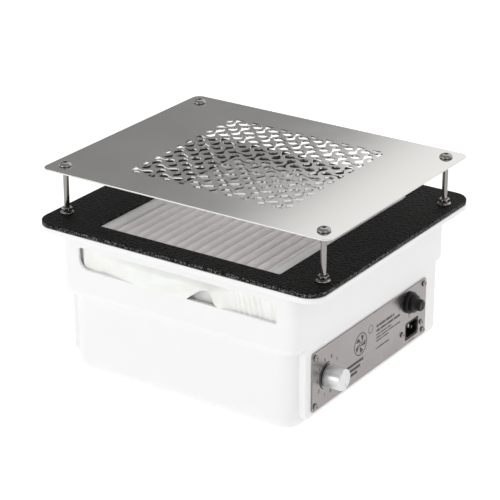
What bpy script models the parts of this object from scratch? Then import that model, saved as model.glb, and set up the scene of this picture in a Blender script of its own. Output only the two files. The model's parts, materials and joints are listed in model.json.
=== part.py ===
"""Built-in nail dust collector: a white tub with a black top plate, a lift-out pleated filter under a
raised perforated steel hand rest, a centrifugal fan inside and a steel control panel on one short side.

Run with: blender --background --python part.py
Axes: +X is the control panel side, -Y is the side with the exhaust slot, +Z is up.
The origin is on the underside of the tub, in the middle of the whole object's footprint.
"""
import math

import bmesh
import bpy
from mathutils import Matrix, Vector

MM = 0.001
GAP = 0.3 * MM                      # clearance between pieces that touch

# ---- driving dimensions: casing -------------------------------------------------------------
LIP_LENGTH = 346 * MM               # the tub's lip and the black plate share one outline
LIP_WIDTH = 314 * MM
LIP_RADIUS = 20 * MM
LIP_HEIGHT = 6 * MM
LIP_SKIRT = 3 * MM                  # wall of the turned-down edge of the lip
BAND_LENGTH = 291.5 * MM            # upper, wider part of the tub
BAND_WIDTH = 301 * MM
BAND_RADIUS = 13 * MM
BODY_LENGTH = 277 * MM              # lower, narrower part of the tub
BODY_WIDTH = 289 * MM
BODY_RADIUS = 20 * MM
BASE_FILLET = 12 * MM
WALL = 3.5 * MM
BODY_TOP = 82.5 * MM                # where the tub starts to widen
BAND_BOTTOM = 89.5 * MM             # where the wide band starts
TUB_TOP = 157.2 * MM
CORNER_STEPS = 4                    # segments in one rounded corner of the tub

PAD_WIDTH = 262 * MM                # raised pad on each short side, flush with the band
PAD_BOTTOM = 9.5 * MM
PAD_TOP = 88 * MM

SLOT_LEFT = -120.5 * MM             # exhaust slot in the front of the band
SLOT_RIGHT = 123.5 * MM
SLOT_BOTTOM = 118.5 * MM
SLOT_TOP = 142 * MM
SLOT_RADIUS = 3.5 * MM
SLOT_BIG_RADIUS = 12 * MM            # its lower corner at -X is much rounder than the others
SLOT_STEPS = 4                       # straight pieces per rounded corner of the slot

# ---- driving dimensions: top ----------------------------------------------------------------
TOP_THICKNESS = 5 * MM
TOP_BOTTOM = TUB_TOP + GAP
TOP_LEVEL = TOP_BOTTOM + TOP_THICKNESS
OPENING_LENGTH = 223.5 * MM
OPENING_WIDTH = 252.5 * MM
OPENING_CENTRE = Vector((3 * MM, -5 * MM))

GRILLE_LENGTH = 350 * MM
GRILLE_WIDTH = 281 * MM
GRILLE_RADIUS = 10 * MM
GRILLE_THICKNESS = 1.5 * MM
GRILLE_TOP = TOP_LEVEL + 52.4 * MM
GRILLE_BOTTOM = GRILLE_TOP - GRILLE_THICKNESS
LEG_X = 157.8 * MM
LEG_Y = 120.6 * MM
LEG_RADIUS = 3 * MM
LEG_HOLE = 3.4 * MM
LEG_BOTTOM = 146 * MM

# perforation: upright and lying waisted slots alternate like a chess board
SLOT_CELLS = 10
SLOT_PITCH = 19.4 * MM
SLOT_HALF_LENGTH = 15.2 * MM
SLOT_SHOULDER = 11 * MM
SLOT_HALF_WIDTH = 5.2 * MM
SLOT_WAIST = 1.8 * MM
FIELD_CENTRE = Vector((1.5 * MM, 0))

# ---- driving dimensions: filter and its box -------------------------------------------------
FILTER_CLEARANCE = 0.75 * MM
FILTER_TOP = TOP_LEVEL - 2 * MM
FILTER_BOTTOM = 127.6 * MM
FILTER_END_WALL = 12 * MM
FILTER_SIDE_WALL = 3 * MM
PLEATS = 16
PLEAT_SHEET = 1.6 * MM
GASKET_HEIGHT = 3 * MM
BOX_WALL = 2.5 * MM
BOX_BOTTOM = 97 * MM
BOX_FLOOR = 3 * MM
LEDGE_WIDTH = 8 * MM
LEDGE_HEIGHT = 3 * MM
INLET_RADIUS = 62 * MM

# ---- driving dimensions: fan ----------------------------------------------------------------
IMPELLER_RADIUS = 80 * MM
IMPELLER_EYE = 60 * MM
IMPELLER_BOTTOM = 44 * MM
IMPELLER_TOP = 82 * MM
IMPELLER_BLADES = 7
CUP_RADIUS = 40 * MM
STATOR_BASE = 10.1 * MM
MOUNT_SIZE = 120 * MM
MOUNT_SCREW_PITCH = 96 * MM

# ---- driving dimensions: control panel (positions are Y and Z) ------------------------------
PAD_FACE = BAND_LENGTH / 2
PANEL_BACK = PAD_FACE + GAP
PANEL_THICKNESS = 1.5 * MM
PANEL_FACE = PANEL_BACK + PANEL_THICKNESS
PANEL_WIDTH = 228 * MM
PANEL_HEIGHT = 65 * MM
PANEL_CENTRE = Vector((-7 * MM, 47.5 * MM))
PANEL_SCREW_Y = 108.5 * MM
PANEL_SCREW_Z = 27 * MM
KNOB_CENTRE = Vector((-92.5 * MM, 46 * MM))
KNOB_RADIUS = 12 * MM
FUSE_CENTRE = Vector((71 * MM, 64 * MM))
INLET_CENTRE = Vector((77.5 * MM, 31 * MM))
INLET_SCREW_PITCH = 40 * MM
INLET_FLANGE = (51 * MM, 21.6 * MM)
WINDOW_Y = (-108 * MM, 93 * MM)
WINDOW_Z = (24.3 * MM, 71.2 * MM)
FACE_HEAD = PANEL_FACE + GAP        # seat of what lies on the front of the panel


# ---- materials ------------------------------------------------------------------------------
MATERIALS = {
    "white_plastic": ((0.85, 0.85, 0.84), 0.45, 0.0),
    "black_sheet": ((0.02, 0.02, 0.02), 0.55, 0.0),
    "brushed_steel": ((0.62, 0.61, 0.59), 0.3, 1.0),
    "bright_metal": ((0.8, 0.8, 0.8), 0.15, 1.0),
    "filter_paper": ((0.88, 0.87, 0.86), 0.9, 0.0),
    "cloth": ((0.86, 0.85, 0.8), 0.95, 0.0),
    "foam": ((0.05, 0.05, 0.05), 0.95, 0.0),
    "knob_plastic": ((0.72, 0.73, 0.74), 0.4, 0.0),
    "black_plastic": ((0.015, 0.015, 0.016), 0.35, 0.0),
    "grey_plastic": ((0.2, 0.21, 0.22), 0.5, 0.0),
    "aluminium": ((0.7, 0.71, 0.72), 0.4, 1.0),
    "brass": ((0.75, 0.6, 0.3), 0.3, 1.0),
    "glass": ((0.9, 0.93, 0.92), 0.05, 0.0),
    "circuit_board": ((0.03, 0.16, 0.07), 0.5, 0.0),
}


def material(name):
    """The named Principled material, made on first use."""
    found = bpy.data.materials.get(name)
    if found:
        return found
    colour, roughness, metallic = MATERIALS[name]
    made = bpy.data.materials.new(name)
    made.use_nodes = True
    shader = made.node_tree.nodes["Principled BSDF"]
    shader.inputs["Base Color"].default_value = (*colour, 1)
    shader.inputs["Roughness"].default_value = roughness
    shader.inputs["Metallic"].default_value = metallic
    made.diffuse_color = (*colour, 1)
    return made


# ---- shape helpers --------------------------------------------------------------------------
UPRIGHT = Matrix.Identity(4)
# turns a shape drawn in (u, v, height) so that u is Y, v is Z and height is X
FACING_X = Matrix(((0, 0, 1, 0), (1, 0, 0, 0), (0, 1, 0, 0), (0, 0, 0, 1)))


def clear_scene():
    for thing in list(bpy.data.objects):
        bpy.data.objects.remove(thing, do_unlink=True)


def finish(name, bm, look, turn=UPRIGHT, location=(0, 0, 0), parent=None, smooth_angle=32):
    """Close up a bmesh as a named object with outward faces and one material."""
    bmesh.ops.transform(bm, matrix=turn, verts=bm.verts)
    bmesh.ops.recalc_face_normals(bm, faces=bm.faces)
    mesh = bpy.data.meshes.new(name)
    bm.to_mesh(mesh)
    bm.free()
    mesh.shade_smooth()
    mesh.set_sharp_from_angle(angle=math.radians(smooth_angle))
    mesh.materials.append(material(look))
    made = bpy.data.objects.new(name, mesh)
    bpy.context.scene.collection.objects.link(made)
    made.location = location
    made.parent = parent
    return made


def axis_empty(name, location):
    """An empty on a joint's axis, which the moving pieces hang from."""
    made = bpy.data.objects.new(name, None)
    bpy.context.scene.collection.objects.link(made)
    made.location = location
    made.empty_display_size = 20 * MM
    return made


def circle(radius, height, count=24, centre=(0, 0), start=0.0):
    steps = (start + math.tau * i / count for i in range(count))
    return [Vector((centre[0] + radius * math.cos(a), centre[1] + radius * math.sin(a), height))
            for a in steps]


def polygon(sides, across_flats, height, count=24):
    """A regular polygon sampled at the same angles as circle(), for lofting to round loops."""
    half = across_flats / 2
    loop = []
    for i in range(count):
        angle = math.tau * i / count
        sector = math.tau / sides
        inside = (angle + sector / 2) % sector - sector / 2
        radius = half / math.cos(inside)
        loop.append(Vector((radius * math.cos(angle), radius * math.sin(angle), height)))
    return loop


def rounded(length, width, radius, height, centre=(0, 0), steps=CORNER_STEPS):
    """A rounded rectangle as one loop of points, anticlockwise from the +X +Y corner."""
    loop = []
    for corner, (sx, sy) in enumerate(((1, 1), (-1, 1), (-1, -1), (1, -1))):
        cx = centre[0] + sx * (length / 2 - radius)
        cy = centre[1] + sy * (width / 2 - radius)
        for i in range(steps + 1):
            angle = math.radians(90 * corner + 90 * i / steps)
            loop.append(Vector((cx + radius * math.cos(angle), cy + radius * math.sin(angle), height)))
    return loop


def loft(loops, ring=False):
    """Skin between loops of equal length: a ring closes last to first, otherwise the ends are capped."""
    bm = bmesh.new()
    rows = [[bm.verts.new(point) for point in loop] for loop in loops]
    count = len(rows[0])
    pairs = list(zip(rows, rows[1:]))
    if ring:
        pairs.append((rows[-1], rows[0]))
    for low, high in pairs:
        for i in range(count):
            j = (i + 1) % count
            bm.faces.new((low[i], low[j], high[j], high[i]))
    if not ring:
        bm.faces.new(rows[0])
        bm.faces.new(rows[-1])
    return bm


def turned(profile, count=24, ring=False):
    """A solid of revolution from (radius, height) pairs."""
    return loft([circle(radius, height, count) for radius, height in profile], ring)


def sheet(outline, holes, bottom, thickness):
    """A flat plate with holes, from loops of points; only their first two coordinates are used."""
    bm = bmesh.new()
    edges = []
    for loop in [outline, *holes]:
        verts = [bm.verts.new((point[0], point[1], bottom)) for point in loop]
        edges += [bm.edges.new((a, b)) for a, b in zip(verts, verts[1:] + verts[:1])]
    bmesh.ops.triangle_fill(bm, use_beauty=True, use_dissolve=False, edges=edges)
    top = bmesh.ops.extrude_face_region(bm, geom=list(bm.faces))
    moved = [item for item in top["geom"] if isinstance(item, bmesh.types.BMVert)]
    bmesh.ops.translate(bm, vec=(0, 0, thickness), verts=moved)
    return bm


def block(low, high):
    """A box between two corners."""
    bm = bmesh.new()
    bmesh.ops.create_cube(bm, size=1)
    size = Vector(high) - Vector(low)
    bmesh.ops.scale(bm, vec=size, verts=bm.verts)
    bmesh.ops.translate(bm, vec=(Vector(low) + Vector(high)) / 2, verts=bm.verts)
    return bm


def combine(target, tool, operation="DIFFERENCE"):
    """Cut or join with a tool object that stays in the scene as a hidden wire shape."""
    modifier = target.modifiers.new(tool.name, "BOOLEAN")
    modifier.operation = operation
    modifier.solver = "EXACT"
    modifier.object = tool
    tool.hide_render = True
    tool.display_type = "WIRE"
    return target


def corners(x, y):
    """The four sign combinations of a symmetric pattern, numbered from the front left."""
    return [(-x, -y), (x, -y), (x, y), (-x, y)]


def screw(name, place, look, head_radius, head_height, radius, length, turn=UPRIGHT, parent=None,
          seat=0.0, socket=0.0, sides=8):
    """A headed screw whose head sits on height `seat` and points along +height; the shank goes down."""
    loops = []
    if socket:
        loops.append(polygon(6, socket, seat + 0.45 * head_height, sides))
        loops.append(polygon(6, socket, seat + head_height, sides))
    loops.append(circle(0.55 * head_radius, seat + head_height, sides))
    loops.append(circle(0.85 * head_radius, seat + 0.72 * head_height, sides))
    loops.append(circle(head_radius, seat + 0.3 * head_height, sides))
    loops.append(circle(head_radius, seat, sides))
    loops.append(circle(radius, seat, sides))
    loops.append(circle(radius, seat - length, sides))
    return finish(name, loft(loops), look, turn, place, parent)


# ---- casing ---------------------------------------------------------------------------------
def make_tub():
    fillet = [(BASE_FILLET * (1 - math.sin(math.radians(a))), BASE_FILLET * (1 - math.cos(math.radians(a))))
              for a in (0, 30, 60, 90)]
    loops = []
    for inset, height in fillet:
        loops.append(rounded(BODY_LENGTH - 2 * inset, BODY_WIDTH - 2 * inset, BODY_RADIUS - inset, height))
    loops.append(rounded(BODY_LENGTH, BODY_WIDTH, BODY_RADIUS, BODY_TOP))
    loops.append(rounded(BAND_LENGTH, BAND_WIDTH, BAND_RADIUS, BAND_BOTTOM))
    lip_inside = TUB_TOP - WALL
    lip_bottom = TUB_TOP - LIP_HEIGHT
    loops.append(rounded(BAND_LENGTH, BAND_WIDTH, BAND_RADIUS, lip_inside))
    hem = 2 * LIP_SKIRT
    loops.append(rounded(LIP_LENGTH - hem, LIP_WIDTH - hem, LIP_RADIUS - LIP_SKIRT, lip_inside))
    loops.append(rounded(LIP_LENGTH - hem, LIP_WIDTH - hem, LIP_RADIUS - LIP_SKIRT, lip_bottom))
    edge = 1.2 * MM
    loops.append(rounded(LIP_LENGTH - edge, LIP_WIDTH - edge, LIP_RADIUS, lip_bottom))
    loops.append(rounded(LIP_LENGTH, LIP_WIDTH, LIP_RADIUS, lip_bottom + edge))
    loops.append(rounded(LIP_LENGTH, LIP_WIDTH, LIP_RADIUS, TUB_TOP - edge))
    loops.append(rounded(LIP_LENGTH - edge, LIP_WIDTH - edge, LIP_RADIUS, TUB_TOP))
    thin = 2 * WALL
    loops.append(rounded(BAND_LENGTH - thin, BAND_WIDTH - thin, BAND_RADIUS - WALL, TUB_TOP))
    loops.append(rounded(BAND_LENGTH - thin, BAND_WIDTH - thin, BAND_RADIUS - WALL, BAND_BOTTOM + WALL))
    loops.append(rounded(BODY_LENGTH - thin, BODY_WIDTH - thin, BODY_RADIUS - WALL, BODY_TOP + WALL))
    for inset, height in reversed(fillet):
        inner = 2 * (inset + WALL)
        radius = max(BODY_RADIUS - inset - WALL, 3 * MM)
        loops.append(rounded(BODY_LENGTH - inner, BODY_WIDTH - inner, radius, height + WALL))
    tub = finish("tub", loft(loops), "white_plastic")

    for side in (-1, 1):
        outer = rounded(PAD_WIDTH, PAD_TOP - PAD_BOTTOM, 6 * MM, 0, (0, (PAD_TOP + PAD_BOTTOM) / 2), 3)
        inner = rounded(PAD_WIDTH - 2 * WALL, PAD_TOP - PAD_BOTTOM - 2 * WALL, 4 * MM, 0,
                        (0, (PAD_TOP + PAD_BOTTOM) / 2), 3)
        root = BODY_LENGTH / 2 - WALL / 2
        raised = loft([[Vector((p.x, p.y, side * h)) for p in outer] for h in (root, PAD_FACE)])
        combine(tub, finish(f"pad_tool_{side}", raised, "white_plastic", FACING_X), "UNION")
        hollow = loft([[Vector((p.x, p.y, side * h)) for p in inner]
                       for h in (root - 3 * WALL, PAD_FACE - WALL)])
        combine(tub, finish(f"pad_hollow_tool_{side}", hollow, "white_plastic", FACING_X))

    slot = []
    for corner, (sx, sy) in enumerate(((1, 1), (-1, 1), (-1, -1), (1, -1))):
        radius = SLOT_BIG_RADIUS if corner == 2 else SLOT_RADIUS
        centre = ((SLOT_RIGHT if sx > 0 else SLOT_LEFT) - sx * radius,
                  (SLOT_TOP if sy > 0 else SLOT_BOTTOM) - sy * radius)
        angles = [math.radians(90 * corner + 90 * step / SLOT_STEPS) for step in range(SLOT_STEPS + 1)]
        slot += [Vector((centre[0] + radius * math.cos(a), centre[1] + radius * math.sin(a), 0)) for a in angles]
    through = loft([[Vector((p.x, -BAND_WIDTH / 2 + h, p.y)) for p in slot] for h in (-5 * MM, 8 * MM)])
    combine(tub, finish("exhaust_slot_tool", through, "white_plastic"))

    window = block((PAD_FACE - 2 * WALL, WINDOW_Y[0], WINDOW_Z[0]), (PAD_FACE + WALL, WINDOW_Y[1], WINDOW_Z[1]))
    combine(tub, finish("panel_window_tool", window, "white_plastic"))
    inlet = [flange_loop(1.2 * MM, height) for height in (PAD_FACE - 2 * WALL, PAD_FACE + WALL)]
    combine(tub, finish("inlet_window_tool", loft(inlet), "white_plastic", FACING_X, (0, *INLET_CENTRE)))
    for number, (y, z) in enumerate(panel_screw_places()):
        hole = turned(((1.7 * MM, PAD_FACE - 2 * WALL), (1.7 * MM, PAD_FACE + WALL)), 8)
        combine(tub, finish(f"panel_hole_tool_{number}", hole, "white_plastic", FACING_X, (0, y, z)))
    for number, (x, y) in enumerate(corners(LEG_X, LEG_Y)):
        hole = turned(((LEG_HOLE, lip_bottom - WALL), (LEG_HOLE, TUB_TOP + WALL)), 12)
        combine(tub, finish(f"leg_hole_tool_{number}", hole, "white_plastic", UPRIGHT, (x, y, 0)))
    for number, (x, y) in enumerate(rim_screw_places()):
        hole = turned(((1.9 * MM, lip_bottom - WALL), (1.9 * MM, TUB_TOP + WALL)), 8)
        combine(tub, finish(f"rim_hole_tool_{number}", hole, "white_plastic", UPRIGHT, (x, y, 0)))
    for number, (x, y) in enumerate(corners(MOUNT_SCREW_PITCH / 2, MOUNT_SCREW_PITCH / 2)):
        sink = turned(((5 * MM, -1 * MM), (5 * MM, 1 * MM), (2.4 * MM, 3.2 * MM), (2.4 * MM, 6 * MM)), 12)
        combine(tub, finish(f"floor_hole_tool_{number}", sink, "white_plastic", UPRIGHT, (x, y, 0)))


def flange_loop(grow, height):
    """The round-ended outline of the power inlet's flange, enlarged all round by `grow`."""
    length, width = INLET_FLANGE
    radius = width / 2 + grow - 0.4 * MM
    return rounded(length + 2 * grow, width + 2 * grow, radius, height, (0, 0), 3)


def panel_screw_places():
    return [(PANEL_CENTRE.x + y, PANEL_CENTRE.y + z) for y, z in corners(PANEL_SCREW_Y, PANEL_SCREW_Z)]


def rim_screw_places():
    return corners(160 * MM, 55 * MM)


def make_top_plate():
    outline = rounded(LIP_LENGTH, LIP_WIDTH, LIP_RADIUS, 0)
    opening = rounded(OPENING_LENGTH, OPENING_WIDTH, 2 * MM, 0, OPENING_CENTRE, 2)
    holes = [circle(LEG_HOLE, 0, 12, place) for place in corners(LEG_X, LEG_Y)]
    plate = finish("top_plate", sheet(outline, [opening, *holes], TOP_BOTTOM, TOP_THICKNESS), "black_sheet")
    for number, (x, y) in enumerate(rim_screw_places()):
        blind = turned(((1.9 * MM, TOP_BOTTOM - WALL), (1.9 * MM, TOP_BOTTOM + 3.5 * MM)), 8)
        combine(plate, finish(f"blind_hole_tool_{number}", blind, "black_sheet", UPRIGHT, (x, y, 0)))


def make_rim_screws():
    """Pan head screws that come up through the lip into the black plate."""
    seat = TUB_TOP - WALL - GAP
    for number, (x, y) in enumerate(rim_screw_places(), 1):
        flipped = Matrix.Rotation(math.pi, 4, "X")
        screw(f"rim_screw_{number}", (x, y, seat), "bright_metal", 3.4 * MM, 2 * MM, 1.5 * MM, 6.5 * MM,
              flipped)


# ---- hand rest ------------------------------------------------------------------------------
def clipped(points, half):
    """A polygon cut back to the square from -half to half on both axes."""
    for axis in (0, 1):
        for sign in (1, -1):
            kept = []
            for a, b in zip(points, points[1:] + points[:1]):
                da, db = half - sign * a[axis], half - sign * b[axis]
                if da >= 0:
                    kept.append(a)
                if da * db < 0:
                    kept.append(a.lerp(b, da / (da - db)))
            points = kept
    return points


def waisted_slot(centre, upright):
    """A slot with a narrow waist and wide shoulders, cut off at the edge of the square field."""
    shape = [(SLOT_WAIST, 0), (SLOT_HALF_WIDTH, SLOT_SHOULDER), (0, SLOT_HALF_LENGTH)]
    quarter = shape + [(-u, v) for u, v in shape[-2::-1]]
    outline = quarter + [(-u, -v) for u, v in quarter[1:-1]]
    turned_over = [Vector((u, v) if upright else (v, -u)) + Vector(centre) for u, v in outline]
    return [point + FIELD_CENTRE for point in clipped(turned_over, SLOT_CELLS * SLOT_PITCH / 2)]


def perforation():
    """All slots of the field, with the ends that reach into it from the cells just outside."""
    first = -(SLOT_CELLS - 1) / 2
    slots = []
    for column in range(-1, SLOT_CELLS + 1):
        for row in range(-1, SLOT_CELLS + 1):
            upright = (column + row) % 2 == 1
            beside, beyond = column in (-1, SLOT_CELLS), row in (-1, SLOT_CELLS)
            if beside and beyond or beside and upright or beyond and not upright:
                continue
            centre = ((first + column) * SLOT_PITCH, (first + row) * SLOT_PITCH)
            slots.append(waisted_slot(centre, upright))
    return slots


def make_hand_rest():
    """The perforated steel plate on its four legs, which lifts off as one unit."""
    base = axis_empty("hand_rest_slide", (0, 0, TOP_LEVEL))
    down = -TOP_LEVEL
    outline = rounded(GRILLE_LENGTH, GRILLE_WIDTH, GRILLE_RADIUS, 0)
    holes = [circle(LEG_HOLE, 0, 12, place) for place in corners(LEG_X, LEG_Y)]
    plate = sheet(outline, perforation() + holes, GRILLE_BOTTOM, GRILLE_THICKNESS)
    finish("grille_plate", plate, "brushed_steel", UPRIGHT, (0, 0, down), base)
    for number, (x, y) in enumerate(corners(LEG_X, LEG_Y), 1):
        seat = GRILLE_TOP + GAP
        screw(f"grille_screw_{number}", (x, y, down), "bright_metal", 7 * MM, 3.4 * MM, LEG_RADIUS,
              seat - LEG_BOTTOM, parent=base, seat=seat, socket=4 * MM, sides=12)
        top = GRILLE_BOTTOM - GAP
        cone = ((LEG_HOLE, top), (5.6 * MM, top), (4.3 * MM, top - 4.5 * MM), (LEG_HOLE, top - 4.5 * MM))
        finish(f"grille_collar_{number}", turned(cone, 12, True), "black_plastic", UPRIGHT, (x, y, down), base)
        low = TOP_LEVEL + GAP
        nut = [circle(7.2 * MM, low, 12), circle(7.2 * MM, low + 1 * MM, 12),
               polygon(6, 10 * MM, low + 2 * MM, 12), polygon(6, 10 * MM, low + 5.6 * MM, 12),
               circle(4.6 * MM, low + 6.1 * MM, 12), circle(LEG_HOLE, low + 6.1 * MM, 12),
               circle(LEG_HOLE, low, 12)]
        finish(f"flange_nut_{number}", loft(nut, True), "bright_metal", UPRIGHT, (x, y, down), base)


# ---- filter ---------------------------------------------------------------------------------
def make_filter():
    """The lift-out cartridge: a frame, the folded paper in it and a foam seal glued underneath."""
    base = axis_empty("filter_slide", (OPENING_CENTRE.x, OPENING_CENTRE.y, FILTER_BOTTOM))
    down = (-OPENING_CENTRE.x, -OPENING_CENTRE.y, -FILTER_BOTTOM)
    length = OPENING_LENGTH - 2 * FILTER_CLEARANCE
    width = OPENING_WIDTH - 2 * FILTER_CLEARANCE
    inner_length = length - 2 * FILTER_END_WALL
    inner_width = width - 2 * FILTER_SIDE_WALL
    outer = rounded(length, width, 1.5 * MM, 0, OPENING_CENTRE, 2)
    inner = rounded(inner_length, inner_width, 1 * MM, 0, OPENING_CENTRE, 2)
    frame = sheet(outer, [inner], FILTER_BOTTOM, FILTER_TOP - FILTER_BOTTOM)
    finish("filter_frame", frame, "filter_paper", UPRIGHT, down, base)

    left = OPENING_CENTRE.x - inner_length / 2 + GAP
    pitch = (inner_length - 2 * GAP) / PLEATS
    top = FILTER_TOP - 1 * MM
    low = FILTER_BOTTOM + 2 * MM
    upper = []
    for pleat in range(PLEATS):
        x = left + pleat * pitch
        upper += [(x, low + PLEAT_SHEET), (x + 0.3 * pitch, top), (x + 0.7 * pitch, top)]
    upper.append((left + PLEATS * pitch, low + PLEAT_SHEET))
    lower = []
    for pleat in range(PLEATS):
        x = left + pleat * pitch
        lower += [(x, low), (x + 0.42 * pitch, top - 2 * PLEAT_SHEET), (x + 0.58 * pitch, top - 2 * PLEAT_SHEET)]
    lower.append((left + PLEATS * pitch, low))
    section = upper + lower[::-1]
    front = OPENING_CENTRE.y - inner_width / 2 + GAP
    back = OPENING_CENTRE.y + inner_width / 2 - GAP
    folded = loft([[Vector((x, y, z)) for x, z in section] for y in (front, back)])
    finish("filter_media", folded, "filter_paper", UPRIGHT, down, base, 20)

    seal_top = FILTER_BOTTOM - GAP
    seal_inner = rounded(length - 14 * MM, width - 14 * MM, 2 * MM, 0, OPENING_CENTRE, 2)
    seal = sheet(outer, [seal_inner], seal_top - GASKET_HEIGHT, GASKET_HEIGHT)
    finish("filter_gasket", seal, "foam", UPRIGHT, down, base)


def make_filter_box():
    """The sleeve under the opening: it carries the filter on a ledge and has the fan inlet in its floor."""
    centre = OPENING_CENTRE
    length, width = OPENING_LENGTH, OPENING_WIDTH
    ledge_top = FILTER_BOTTOM - 2 * GAP - GASKET_HEIGHT
    top = TOP_BOTTOM - GAP

    def frame(grow, height):
        return rounded(length + 2 * grow, width + 2 * grow, 3 * MM + max(grow, 0), height, centre)

    floor = BOX_BOTTOM + BOX_FLOOR
    loops = [frame(BOX_WALL, BOX_BOTTOM), frame(BOX_WALL, top), frame(0, top), frame(0, ledge_top),
             frame(-LEDGE_WIDTH, ledge_top), frame(-LEDGE_WIDTH, ledge_top - LEDGE_HEIGHT),
             frame(0, ledge_top - LEDGE_HEIGHT), frame(0, floor)]
    count = len(loops[0])
    turn = math.radians(90) * 0.5 - math.tau * (CORNER_STEPS / 2) / count
    loops += [circle(INLET_RADIUS, height, count, (0, 0), turn) for height in (floor, BOX_BOTTOM)]
    finish("filter_box", loft(loops, True), "grey_plastic")


# ---- fan ------------------------------------------------------------------------------------
def make_fan():
    ring_top = BOX_BOTTOM - GAP
    mouth = [(INLET_RADIUS - 1 * MM, ring_top), (INLET_RADIUS + 14 * MM, ring_top),
             (INLET_RADIUS + 14 * MM, ring_top - 2 * MM), (INLET_RADIUS - 2 * MM, ring_top - 2 * MM),
             (56 * MM, ring_top - 6 * MM), (55 * MM, ring_top - 13 * MM), (53 * MM, ring_top - 13 * MM),
             (54 * MM, ring_top - 5 * MM), (57 * MM, ring_top - 1.5 * MM)]
    finish("fan_inlet_ring", turned(mouth, 24, True), "aluminium")

    base = axis_empty("fan_axis", (0, 0, STATOR_BASE))
    down = (0, 0, -STATOR_BASE)
    plate_top = IMPELLER_BOTTOM + 2.5 * MM
    shroud = IMPELLER_TOP - 2 * MM
    hub = turned(((CUP_RADIUS + 0.4 * MM, IMPELLER_BOTTOM), (IMPELLER_RADIUS, IMPELLER_BOTTOM),
                  (IMPELLER_RADIUS, plate_top), (CUP_RADIUS + 0.4 * MM, plate_top)), 24, True)
    impeller = finish("impeller", hub, "black_plastic", UPRIGHT, down, base)
    rim = turned(((IMPELLER_EYE, shroud), (IMPELLER_RADIUS, shroud), (IMPELLER_RADIUS, IMPELLER_TOP),
                  (IMPELLER_EYE, IMPELLER_TOP)), 24, True)
    for blade in range(IMPELLER_BLADES):
        combine(impeller, finish(f"blade_tool_{blade}", fan_blade(math.tau * blade / IMPELLER_BLADES,
                plate_top - 1 * MM, shroud + 1 * MM), "black_plastic", UPRIGHT, down, base), "UNION")
    combine(impeller, finish("shroud_tool", rim, "black_plastic", UPRIGHT, down, base), "UNION")

    cup = [(4.4 * MM, 56 * MM), (4.4 * MM, 60 * MM), (36 * MM, 60 * MM), (CUP_RADIUS, 56 * MM),
           (CUP_RADIUS, IMPELLER_BOTTOM - GAP), (46 * MM, IMPELLER_BOTTOM - GAP), (46 * MM, 41 * MM),
           (CUP_RADIUS, 41 * MM), (CUP_RADIUS, 18 * MM), (37 * MM, 18 * MM), (37 * MM, 56 * MM)]
    finish("rotor_cup", turned(cup, 24, True), "aluminium", UPRIGHT, down, base)
    shaft = ((4 * MM, 16 * MM), (4 * MM, 62 * MM))
    finish("rotor_shaft", turned(shaft, 12), "bright_metal", UPRIGHT, down, base)

    stator = [(8.4 * MM, STATOR_BASE + 3 * MM), (8.4 * MM, 53 * MM), (35 * MM, 53 * MM),
              (35 * MM, STATOR_BASE + 3 * MM), (45 * MM, STATOR_BASE + 3 * MM), (45 * MM, STATOR_BASE),
              (6 * MM, STATOR_BASE), (6 * MM, STATOR_BASE + 3 * MM)]
    finish("motor_stator", turned(stator, 24, True), "grey_plastic")
    for name, low in (("bearing_lower", 17 * MM), ("bearing_upper", 44 * MM)):
        race = ((4.3 * MM, low), (8.1 * MM, low), (8.1 * MM, low + 7 * MM), (4.3 * MM, low + 7 * MM))
        finish(name, turned(race, 12, True), "bright_metal")

    half = MOUNT_SIZE / 2
    low = WALL + GAP
    mount = loft([rounded(2 * half, 2 * half, 12 * MM, low, steps=3),
                  rounded(2 * half, 2 * half, 12 * MM, STATOR_BASE - GAP, steps=3)])
    mount = finish("motor_mount", mount, "aluminium")
    for number, (x, y) in enumerate(corners(MOUNT_SCREW_PITCH / 2, MOUNT_SCREW_PITCH / 2), 1):
        hole = turned(((2.4 * MM, low - WALL), (2.4 * MM, low + 5 * MM)), 12)
        combine(mount, finish(f"mount_hole_tool_{number}", hole, "aluminium", UPRIGHT, (x, y, 0)))
        shape = ((4.6 * MM, 0.3 * MM), (4.6 * MM, 0.9 * MM), (2 * MM, 3.2 * MM), (2 * MM, 8 * MM))
        finish(f"motor_screw_{number}", turned(shape, 8), "bright_metal", UPRIGHT, (x, y, 0))


def fan_blade(angle, bottom, top):
    """One backward-curved blade from the cup's rim to the impeller's edge."""
    inner, outer = 47 * MM, IMPELLER_RADIUS - 0.5 * MM
    steps, thickness, lag = 3, 1.6 * MM, math.radians(38)
    centre_line = []
    for i in range(steps + 1):
        share = i / steps
        radius = inner + (outer - inner) * share
        turn = angle - lag * share ** 1.3
        centre_line.append(Vector((radius * math.cos(turn), radius * math.sin(turn), 0)))
    sides = ([], [])
    for i, point in enumerate(centre_line):
        along = centre_line[min(i + 1, steps)] - centre_line[max(i - 1, 0)]
        across = Vector((-along.y, along.x, 0)).normalized() * thickness / 2
        sides[0].append(point + across)
        sides[1].append(point - across)
    outline = sides[0] + sides[1][::-1]
    return loft([[Vector((p.x, p.y, h)) for p in outline] for h in (bottom, top)])


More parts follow.
